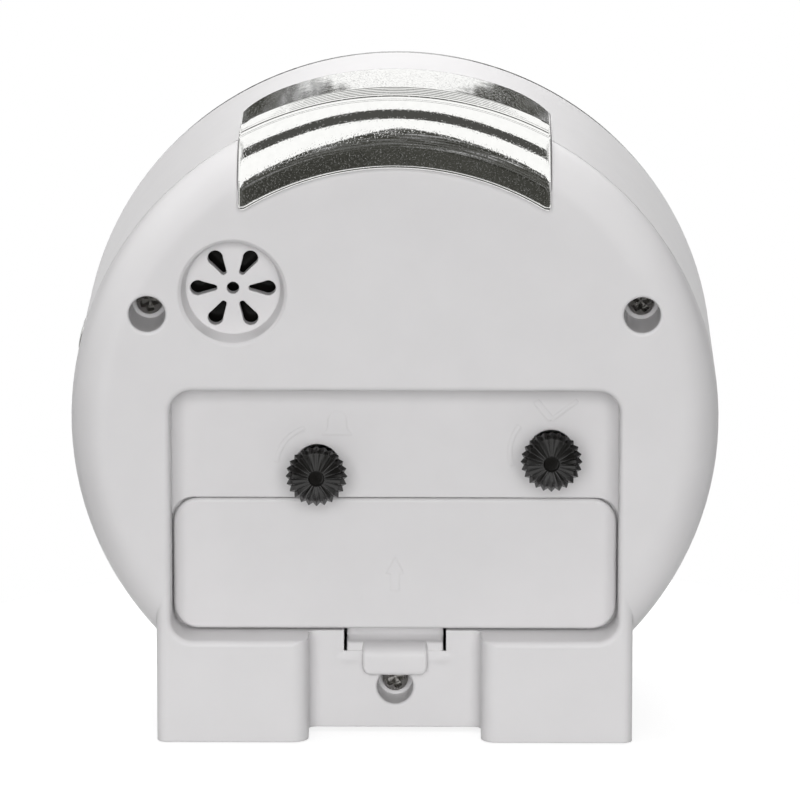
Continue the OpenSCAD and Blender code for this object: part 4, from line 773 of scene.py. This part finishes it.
def make_latch_arm():
    """Arm across the slot: its face runs out to the panel below and dives under the door above."""
    inner, hook = LATCH_LOW.y, LATCH_LOW.y + ARM_HOOK
    top = LATCH_HIGH.z - DOOR_LOW_Z
    # Outline as (y, z from the door's lower edge), from the foot of the inner face round by the panel
    arm = [
        (inner, -2.85),
        (inner + 1.6, -4.05),
        (PANEL_Y - 0.08, -4.05),
        (PANEL_Y - 0.12, -3.7),
        (PANEL_Y - 1.0, -2.35),
        (inner + 1.2, -2.0),
        (inner + 0.6, -1.5),
        (inner + 0.5, 0.02),
        (hook, 0.02),
        (hook, top),
        (inner, top),
    ]
    bm = bmesh.new()
    add_prism(bm, [(y, DOOR_LOW_Z + z) for y, z in arm], LATCH_LOW.x, LATCH_HIGH.x, ARM_SOFT)
    piece = finish_mesh("door_latch_arm", bm, "latch", looks["case_plastic"])
    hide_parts("door_latch")


TAB_HALF = 5.0
TAB_CORNER_R = 1.3
TAB_SOFT = 0.45
TAB_THIN_MOST = 0.9
TAB_COLUMNS = 41
# The tab widens towards its root
TAB_FLARE = 0.06
TAB_FLARE_FROM = -1.6
# Outer and then inner face of the tab, as (y from its outermost face, z from the door's lower edge)
TAB_ROWS = [
    (-3.60, -2.22, -3.60, -3.30),
    (-2.90, -2.22, -2.90, -3.36),
    (-2.30, -2.36, -2.35, -3.45),
    (-1.60, -2.60, -1.95, -3.62),
    (-0.95, -2.90, -1.60, -3.90),
    (-0.45, -3.24, -1.42, -4.20),
    (-0.15, -3.63, -1.33, -4.55),
    (-0.02, -4.10, -1.30, -4.90),
    (0.00, -5.00, -1.30, -5.40),
    (0.00, -6.00, -1.30, -6.00),
    (0.00, -6.50, -1.28, -6.50),
    (-0.06, -6.80, -1.22, -6.80),
    (-0.22, -7.02, -1.06, -7.02),
    (-0.50, -7.12, -0.78, -7.12),
]


def make_latch_tab():
    tip = TAB_ROWS[-1][1]
    shares = [math.sin(t) for t in evenly(-math.pi / 2, math.pi / 2, TAB_COLUMNS)]
    bm = bmesh.new()
    outer, inner = [], []
    for outer_y, outer_z, inner_y, inner_z in TAB_ROWS:
        half = TAB_HALF - soft_drop(outer_z - tip, TAB_CORNER_R)
        half += TAB_FLARE * max(0.0, TAB_FLARE_FROM - outer_y) ** 2
        middle = Vector((0, (outer_y + inner_y) / 2, (outer_z + inner_z) / 2))
        reach = Vector((0, (outer_y - inner_y) / 2, (outer_z - inner_z) / 2))
        rows = ([], [])
        for share in shares:
            thin = 1 - min(soft_drop(half * (1 - abs(share)), TAB_SOFT) / reach.length, TAB_THIN_MOST)
            for row, way in zip(rows, (1, -1)):
                place = middle + reach * way * thin + Vector((half * share, LATCH_HIGH.y, DOOR_LOW_Z))
                row.append(bm.verts.new(place))
        outer.append(rows[0])
        inner.append(rows[1])
    skin_pair(bm, outer, inner)
    finish_mesh("door_latch_tab", bm, "latch", looks["case_plastic"], smooth_angle=60)


SLOT_HALF = 7.9
SWELL_HALF = 9.4
SWELL_TOP, SWELL_LOW = -3.48, -6.1
SWELL_T = 0.012
SWELL_RISE = 0.05
SWELL_FADE_SIDE, SWELL_FADE_LOW, SWELL_FADE_TOP = 1.5, 1.2, 0.9
SWELL_COLUMNS, SWELL_ROWS = 65, 25
BUMP_RISE = 0.2
BUMP_X, BUMP_Z = 7.1, -4.7
BUMP_WIDE, BUMP_HIGH = 1.6, 1.0


def make_latch_swelling():
    """Low swelling of the panel at the foot of the slot, highest at the two ends of it."""
    bm = bmesh.new()
    outer, inner = [], []
    for z in evenly(SWELL_TOP, SWELL_LOW, SWELL_ROWS):
        outer_row, inner_row = [], []
        for x in evenly(-SWELL_HALF, SWELL_HALF, SWELL_COLUMNS):
            edge = max(0.0, min(1.0, (SWELL_HALF - abs(x)) / SWELL_FADE_SIDE))
            edge *= min(1.0, (z - SWELL_LOW) / SWELL_FADE_LOW)
            if abs(x) > SLOT_HALF:
                edge *= min(1.0, (SWELL_TOP - z) / SWELL_FADE_TOP)
            fade = edge * edge * (3 - 2 * edge)
            near = ((abs(x) - BUMP_X) / BUMP_WIDE) ** 2 + ((z - BUMP_Z) / BUMP_HIGH) ** 2
            rise = SWELL_T + fade * (SWELL_RISE + BUMP_RISE * math.exp(-near))
            outer_row.append(bm.verts.new((x, PANEL_Y + rise, DOOR_LOW_Z + z)))
            inner_row.append(bm.verts.new((x, PANEL_Y + SWELL_T / 4, DOOR_LOW_Z + z)))
        outer.append(outer_row)
        inner.append(inner_row)
    skin_pair(bm, outer, inner)
    finish_mesh("latch_seat_swelling", bm, "case", case_smooth, smooth_angle=60)


make_latch_arm()
make_latch_tab()
make_latch_swelling()


# Alarm switch: a plated slider with a crowned face, on a stem

SLIDER_LOW, SLIDER_HIGH = span("alarm_switch_slider")
SLIDER_MIDDLE_Y = (SLIDER_LOW.y + SLIDER_HIGH.y) / 2
SLIDER_MIDDLE_Z = (SLIDER_LOW.z + SLIDER_HIGH.z) / 2
SLIDER_DEPTH = 2.9
SLIDER_BASE_X = SLIDER_HIGH.x - SLIDER_DEPTH
SLIDER_RISE = 0.45
SLIDER_FALL = 0.6
SLIDER_SOFT = 0.4
SLIDER_STEPS = 33
SLIDER_STEM_HALF = 1.1
SLIDER_STEM_INSET = 0.2
SLIDER_STEM_SUNK = 0.2
SLIDER_STEM_SOFT = 0.15


def make_slider():
    case_r = span("front_case")[1].z - AXIS_Z
    half_h = (SLIDER_HIGH.z - SLIDER_LOW.z) / 2
    half_w = (SLIDER_HIGH.y - SLIDER_LOW.y) / 2
    shares = [math.sin(t) for t in evenly(-math.pi / 2, math.pi / 2, SLIDER_STEPS)]
    bm = bmesh.new()
    rows = []
    for z in [SLIDER_MIDDLE_Z + half_h * s for s in shares]:
        share = (z - SLIDER_MIDDLE_Z) / half_h
        crown = math.sqrt(case_r ** 2 - (z - AXIS_Z) ** 2) + SLIDER_RISE * (1 - SLIDER_FALL * share * share)
        row = []
        for y in [SLIDER_MIDDLE_Y + half_w * s for s in shares]:
            inside = min(half_h - abs(z - SLIDER_MIDDLE_Z), half_w - abs(y - SLIDER_MIDDLE_Y))
            row.append(bm.verts.new((min(SLIDER_HIGH.x, crown) - soft_drop(inside, SLIDER_SOFT), y, z)))
        rows.append(row)
    for a, b in zip(rows, rows[1:]):
        bridge(bm, a, b, closed=False)
    rim = rows[0] + [row[-1] for row in rows[1:-1]] + rows[-1][::-1] + [row[0] for row in rows[-2:0:-1]]
    foot = add_ring(bm, [(SLIDER_BASE_X, v.co.y, v.co.z) for v in rim])
    bridge(bm, rim, foot)
    close_with_point(bm, foot, (SLIDER_BASE_X, SLIDER_MIDDLE_Y, SLIDER_MIDDLE_Z))
    plated = looks["plating"]
    piece = finish_mesh("alarm_switch_crowned", bm, "alarm_switch", plated, smooth_angle=40)
    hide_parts("alarm_switch_slider")


def make_slider_stem():
    front, back = SLIDER_MIDDLE_Y - SLIDER_STEM_HALF, SLIDER_MIDDLE_Y + SLIDER_STEM_HALF
    bottom, top = SLIDER_LOW.z + SLIDER_STEM_INSET, SLIDER_HIGH.z - SLIDER_STEM_INSET
    outline = [(front, bottom), (back, bottom), (back, top), (front, top)]
    bm = bmesh.new()
    add_prism(bm, outline, SLIDER_LOW.x, SLIDER_BASE_X + SLIDER_STEM_SUNK, SLIDER_STEM_SOFT)
    finish_mesh("alarm_switch_stem", bm, "alarm_switch", looks["plating"])


make_slider()
make_slider_stem()


# Battery cell: a can with its cap and base, in a printed film

CELL_CAP = 1.0
CELL_CAP_R = 2.75
CELL_STEPS = 72


def make_cell_part(name, profile, slot):
    """Solid of revolution about the cell's own axis, from (radius, place along the cell) pairs."""
    low, high = span("battery_cell")
    centre = (low + high) / 2
    rings = []
    for radius, along in profile:
        rings.append([(low.x + along, centre.y + radius * math.cos(t), centre.z + radius * math.sin(t))
                      for t in full_turn(CELL_STEPS)])
    tips = [(low.x + profile[k][1], centre.y, centre.z) for k in (0, -1)]
    bm = bmesh.new()
    lathe(bm, rings, *tips)
    return finish_mesh(name, bm, "case", looks[slot], smooth_angle=30)


def make_cell():
    low, high = span("battery_cell")
    radius = (high.z - low.z) / 2
    length = high.x - low.x
    shoulder = length - CELL_CAP
    film = make_cell_part("battery_cell_film", [
        (radius - 1.2, 0.25),
        (radius - 1.0, 0.05),
        (radius - 0.6, 0.0),
        (radius - 0.2, 0.12),
        (radius, 0.5),
        (radius, shoulder - 0.7),
        (radius - 0.2, shoulder - 0.25),
        (radius - 0.7, shoulder - 0.12),
        (radius - 1.3, shoulder - 0.3),
    ], "cell_sleeve")
    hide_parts("battery_cell")
    make_cell_part("battery_cell_base", [
        (radius - 1.9, 0.06),
        (radius - 1.7, 0.02),
        (radius - 1.5, 0.08),
        (radius - 1.25, 0.3),
    ], "steel")
    make_cell_part("battery_cell_cap", [
        (radius - 1.35, shoulder - 0.32),
        (CELL_CAP_R + 0.5, shoulder - 0.3),
        (CELL_CAP_R + 0.1, shoulder - 0.1),
        (CELL_CAP_R, shoulder + 0.2),
        (CELL_CAP_R, length - 0.3),
        (CELL_CAP_R - 0.1, length - 0.1),
        (CELL_CAP_R - 0.4, length),
    ], "steel")


make_cell()


# Print on the dial: a minute track and plain hour numbers

PRINT_T = 0.04
TRACK_OUTER = 42.0
MINUTE_INNER, MINUTE_W = 40.0, 0.35
HOUR_INNER, HOUR_W = 38.6, 1.1
NUMBER_R = 32.5
NUMBER_H = 9.5


def clock_directions(angle):
    """Outward and sideways directions on the dial, at a clock angle in degrees."""
    turn = math.radians(angle)
    return Vector((math.sin(turn), 0, math.cos(turn))), Vector((math.cos(turn), 0, -math.sin(turn)))


def add_mark(bm, angle, inner, outer, width):
    out, side = clock_directions(angle)
    centre = Vector((0, DIAL_Y, AXIS_Z))
    corners = [centre + out * r + side * s * width / 2
               for r, s in ((inner, -1), (inner, 1), (outer, 1), (outer, -1))]
    low = add_ring(bm, corners)
    high = add_ring(bm, [c + Vector((0, -PRINT_T, 0)) for c in corners])
    bridge(bm, low, high)
    bm.faces.new(low)
    bm.faces.new(high)


def make_minute_track():
    bm = bmesh.new()
    for minute in range(60):
        inner, width = (HOUR_INNER, HOUR_W) if minute % 5 == 0 else (MINUTE_INNER, MINUTE_W)
        add_mark(bm, minute * 6, inner, TRACK_OUTER, width)
    finish_mesh("minute_track", bm, "case", print_black)


def make_number(value):
    name = f"hour_number_{value:02d}"
    curve = bpy.data.curves.new(name, "FONT")
    curve.body = str(value)
    curve.size = NUMBER_H * MM
    curve.extrude = PRINT_T / 2 * MM
    curve.resolution_u = 6
    text = bpy.data.objects.new(name + "_outline", curve)
    bpy.context.scene.collection.objects.link(text)
    ready = text.evaluated_get(bpy.context.evaluated_depsgraph_get())
    solid = bpy.data.meshes.new_from_object(ready)
    bpy.data.objects.remove(text)
    bpy.data.curves.remove(curve)
    xs = [v.co.x for v in solid.vertices]
    ys = [v.co.y for v in solid.vertices]
    middle = Vector(((min(xs) + max(xs)) / 2, (min(ys) + max(ys)) / 2, 0))
    out, _ = clock_directions(value * 30)
    home = (out * NUMBER_R + Vector((0, DIAL_Y - PRINT_T / 2, AXIS_Z))) * MM
    upright = Matrix.Rotation(math.radians(90), 4, "X")
    solid.transform(Matrix.Translation(home) @ upright @ Matrix.Translation(-middle))
    add_piece(name, solid, "case", print_black)


make_minute_track()
for hour in range(1, 13):
    make_number(hour)


# Luminous strips on the hour and minute hands

STRIP_STEPS = 10
STRIP_T = 0.05
STRIP_CROWN = 0.09
# The time that the hands show at rest
SHOWN_HOUR, SHOWN_MINUTE = 10, 9
HOUR_ANGLE = SHOWN_HOUR * 30 + SHOWN_MINUTE / 2
MINUTE_ANGLE = SHOWN_MINUTE * 6


def make_strip(name, node, body, angle, inner, outer, wide, narrow):
    """Pillow of paint on a hand, from its hub end to its tip end."""
    out, side = clock_directions(angle)
    centre = Vector((0, span(node)[0].y, AXIS_Z))
    outline = []
    for reach, width, way in ((outer, narrow, 1), (inner, wide, -1)):
        for turn in evenly(0.0, math.pi, STRIP_STEPS):
            tip = out * (reach + way * math.sin(turn) * width / 2)
            outline.append(centre + tip - side * (way * math.cos(turn) * width / 2))
    bm = bmesh.new()
    low = add_ring(bm, outline)
    high = add_ring(bm, [p + Vector((0, -STRIP_T, 0)) for p in outline])
    bridge(bm, low, high)
    close_with_point(bm, high, centre + out * (inner + outer) / 2 + Vector((0, -STRIP_CROWN, 0)))
    bm.faces.new(low)
    finish_mesh(name, bm, body, lume_green, smooth_angle=60)


make_strip("hour_hand_strip", "hour_hand", "hour", HOUR_ANGLE,
           inner=9, outer=22.5, wide=1.5, narrow=0.9)
make_strip("minute_hand_strip", "minute_hand", "minute", MINUTE_ANGLE,
           inner=12, outer=33, wide=1.2, narrow=0.7)


# Floor: pale where it is seen or mirrored, and a plain grey for the light it throws back

FLOOR_R = 90.0
FLOOR_Z = -0.2
FLOOR_STEPS = 96
FLOOR_RING_SHARES = (1.0, 0.6, 0.2)
FLOOR_THROWS = 0.35
FLOOR_SEEN = 0.3
FLOOR_GLOW = 0.8


def floor_material():
    material = bpy.data.materials.new("pale_floor")
    material.use_nodes = True
    build = Nodes(material.node_tree)
    out = build.add("ShaderNodeOutputMaterial")
    matt = build.add("ShaderNodeBsdfDiffuse")
    matt.inputs["Color"].default_value = (*grey(FLOOR_THROWS), 1.0)
    glow = build.add("ShaderNodeEmission")
    glow.inputs["Strength"].default_value = FLOOR_GLOW
    dim = build.add("ShaderNodeBsdfDiffuse")
    dim.inputs["Color"].default_value = (*grey(FLOOR_SEEN), 1.0)
    both = build.add("ShaderNodeAddShader")
    build.link(glow.outputs["Emission"], both.inputs[0])
    build.link(dim.outputs["BSDF"], both.inputs[1])
    path = build.add("ShaderNodeLightPath")
    seen = build.math("MAXIMUM", path.outputs["Is Camera Ray"], path.outputs["Is Glossy Ray"])
    seen = build.math("MAXIMUM", seen, path.outputs["Is Transmission Ray"])
    build.link(build.mix_shaders(seen, matt.outputs["BSDF"], both.outputs["Shader"]), out.inputs["Surface"])
    return material


def make_floor():
    rings = []
    for share in FLOOR_RING_SHARES:
        radius = FLOOR_R * share
        rings.append([(radius * math.cos(t), radius * math.sin(t), FLOOR_Z) for t in full_turn(FLOOR_STEPS)])
    bm = bmesh.new()
    lathe(bm, rings, last_tip=(0, 0, FLOOR_Z))
    bmesh.ops.scale(bm, vec=Vector((MM, MM, MM)), verts=bm.verts)
    mesh = bpy.data.meshes.new("studio_floor")
    bm.to_mesh(mesh)
    bm.free()
    floor = bpy.data.objects.new("studio_floor", mesh)
    bpy.context.scene.collection.objects.link(floor)
    mesh.materials.append(floor_material())


# World and lamps. Angles of the room go over the clock: 0 behind it, 90 above it, 180 in front of it

WORLD_FILL = 0.2
EDGE_SOFT = 0.5
REAR_BOX_FROM, REAR_BOX_TO = 48.0, 65.8
FRONT_BOX_FROM, FRONT_BOX_TO = 94.2, 170.2
CEILING_FROM, CEILING_TO = 60.0, 100.0
# The side boxes start this far towards the side, as the X of a direction
SIDE_FROM, SIDE_SOFT = 0.6, 0.04
SIDE_LOW, SIDE_HIGH = 8.0, 155.0
# Towards the sides all the boxes hang lower, and the rear one most
DROOP, DROOP_LIMIT = 61.0, 0.16
SAG_LEFT, SAG_RIGHT = 190.0, -80.0
RAGGED, RAGGED_SCALE = 10.0, 9.0
TEAR, TEAR_SCALE, TEAR_SOFT = 2.4, 120.0, 0.2
CLUTTER_SCALE = 16.0
CLUTTER_STOPS = [
    (0.36, (0.03, 0.03, 0.026)),
    (0.50, (0.075, 0.075, 0.066)),
    (0.60, grey(0.22)),
    (0.70, grey(0.8)),
]
# The room low in front is pale, and paler still towards its floor
PALE_TO = -100.0
PALE_MIDDLE, PALE_HALF = -145.0, 35.0
PALE_STOPS = [(0.0, grey(0.85)), (0.9, grey(1.0))]
CEILING_COLOUR = (0.075, 0.075, 0.07)
BOX_COLOUR = (1.04, 1.04, 1.03)


def studio_room(build):
    """What bright metal mirrors: white boxes behind, in front and at the sides, in a dark cluttered room."""
    toward = build.add("ShaderNodeTexCoord").outputs["Generated"]
    parts = build.add("ShaderNodeSeparateXYZ")
    build.link(toward, parts.inputs["Vector"])

    def plus(first, second):
        return build.math("ADD", first, second)

    def times(first, second):
        return build.math("MULTIPLY", first, second)

    def larger(first, second):
        return build.math("MAXIMUM", first, second)

    def beyond(value, limit, soft=EDGE_SOFT):
        """A soft step from 0 to 1 at the limit."""
        step = build.add("ShaderNodeMapRange", clamp=True)
        build.link(value, step.inputs["Value"])
        step.inputs["From Min"].default_value = limit - soft
        step.inputs["From Max"].default_value = limit + soft
        return step.outputs["Result"]

    def short_of(value, limit, soft=EDGE_SOFT):
        return build.math("SUBTRACT", 1.0, beyond(value, limit, soft))

    angle = times(build.math("ARCTAN2", parts.outputs["Z"], parts.outputs["Y"]), 180 / math.pi)
    aside = build.math("ABSOLUTE", parts.outputs["X"])
    hung = plus(angle, times(build.math("MINIMUM", times(aside, aside), DROOP_LIMIT), DROOP))
    ragged = times(build.noise(toward, RAGGED_SCALE, 5.0, 0.6), RAGGED)
    sag = larger(times(parts.outputs["X"], SAG_LEFT), times(parts.outputs["X"], SAG_RIGHT))
    rear = times(beyond(plus(hung, plus(sag, ragged)), REAR_BOX_FROM), short_of(hung, REAR_BOX_TO))
    tear = times(build.math("SUBTRACT", build.noise(toward, TEAR_SCALE, 4.0, 0.7), 0.5), TEAR)
    front = times(beyond(hung, FRONT_BOX_FROM), short_of(plus(hung, tear), FRONT_BOX_TO, TEAR_SOFT))
    ahead = times(larger(rear, front), short_of(aside, SIDE_FROM, SIDE_SOFT))
    upright = times(beyond(angle, SIDE_LOW), short_of(angle, SIDE_HIGH))
    boxes = larger(ahead, times(beyond(aside, SIDE_FROM, SIDE_SOFT), upright))
    clutter = build.ramp(build.noise(toward, CLUTTER_SCALE, 5.0, 0.65), CLUTTER_STOPS)
    pale = build.ramp(beyond(angle, PALE_MIDDLE, PALE_HALF), PALE_STOPS)
    dark = build.mix_colours(short_of(angle, PALE_TO), clutter, pale)
    ceiling = times(beyond(angle, CEILING_FROM), short_of(angle, CEILING_TO))
    shade = build.mix_colours(ceiling, dark, CEILING_COLOUR)
    studio = build.add("ShaderNodeBackground")
    build.link(build.mix_colours(boxes, shade, BOX_COLOUR), studio.inputs["Color"])
    return studio.outputs["Background"]


def plain_white(build, strength):
    node = build.add("ShaderNodeBackground")
    node.inputs["Color"].default_value = (1.0, 1.0, 1.0, 1.0)
    node.inputs["Strength"].default_value = strength
    return node.outputs["Background"]


def make_world():
    """White to the eye, a plain fill for diffuse light, and a studio for what mirrors it."""
    world = bpy.data.worlds.new("studio")
    bpy.context.scene.world = world
    world.use_nodes = True
    build = Nodes(world.node_tree)
    out = build.add("ShaderNodeOutputWorld")
    path = build.add("ShaderNodeLightPath")
    eye = build.math("MAXIMUM", path.outputs["Is Camera Ray"], path.outputs["Is Transmission Ray"])
    plain = build.mix_shaders(eye, plain_white(build, WORLD_FILL), plain_white(build, 1.0))
    mirrored = build.mix_shaders(path.outputs["Is Glossy Ray"], plain, studio_room(build))
    build.link(mirrored, out.inputs["Surface"])


def make_lamp(name, place, aim, size, power):
    """Area lamp with its place, aim and size in metres. Mirrors don't show it."""
    data = bpy.data.lights.new(name, "AREA")
    data.shape = "RECTANGLE"
    data.size, data.size_y = size
    data.energy = power
    lamp = bpy.data.objects.new(name, data)
    lamp.location = place
    lamp.rotation_euler = (Vector(aim) - Vector(place)).to_track_quat("-Z", "Y").to_euler()
    lamp.visible_glossy = False
    bpy.context.scene.collection.objects.link(lamp)


make_floor()
make_world()
make_lamp("rear_box", (0.0, 1.3, 0.38), aim=(0, 0.02, 0.05), size=(1.0, 0.7), power=15.0)
make_lamp("top_box", (0.25, -0.2, 1.4), aim=(0, 0.0, 0.06), size=(1.1, 0.9), power=17.2)
make_lamp("front_box", (-0.2, -1.2, 0.7), aim=(0, 0.0, 0.05), size=(1.2, 0.9), power=12.7)


# Camera at the photograph's viewing angle

CAMERA_AIM = Vector((0.0, BACK_Y, AXIS_Z)) * MM
CAMERA_TILT = math.radians(13.5)
CAMERA_TURN = math.radians(-0.6)
CAMERA_DISTANCE = 1.15
CAMERA_SENSOR_W = 36.0
CAMERA_NEAR, CAMERA_FAR = 0.05, 20.0
FRAME_PIXELS = 800
PIXELS_PER_MM = 6.503
AIM_PIXEL = (394.5, 427.6)


def make_camera():
    data = bpy.data.cameras.new("photo_camera")
    camera = bpy.data.objects.new("photo_camera", data)
    bpy.context.scene.collection.objects.link(camera)
    toward = Vector((
        math.sin(CAMERA_TURN) * math.cos(CAMERA_TILT),
        math.cos(CAMERA_TURN) * math.cos(CAMERA_TILT),
        math.sin(CAMERA_TILT),
    ))
    camera.location = CAMERA_AIM + toward * CAMERA_DISTANCE
    camera.rotation_euler = (-toward).to_track_quat("-Z", "Y").to_euler()
    data.sensor_width = CAMERA_SENSOR_W
    data.lens = PIXELS_PER_MM * CAMERA_DISTANCE / MM / FRAME_PIXELS * CAMERA_SENSOR_W
    data.shift_x = (FRAME_PIXELS / 2 - AIM_PIXEL[0]) / FRAME_PIXELS
    data.shift_y = (AIM_PIXEL[1] - FRAME_PIXELS / 2) / FRAME_PIXELS
    data.clip_start = CAMERA_NEAR
    data.clip_end = CAMERA_FAR
    bpy.context.scene.camera = camera


make_camera()
bpy.context.scene.view_settings.view_transform = "Standard"
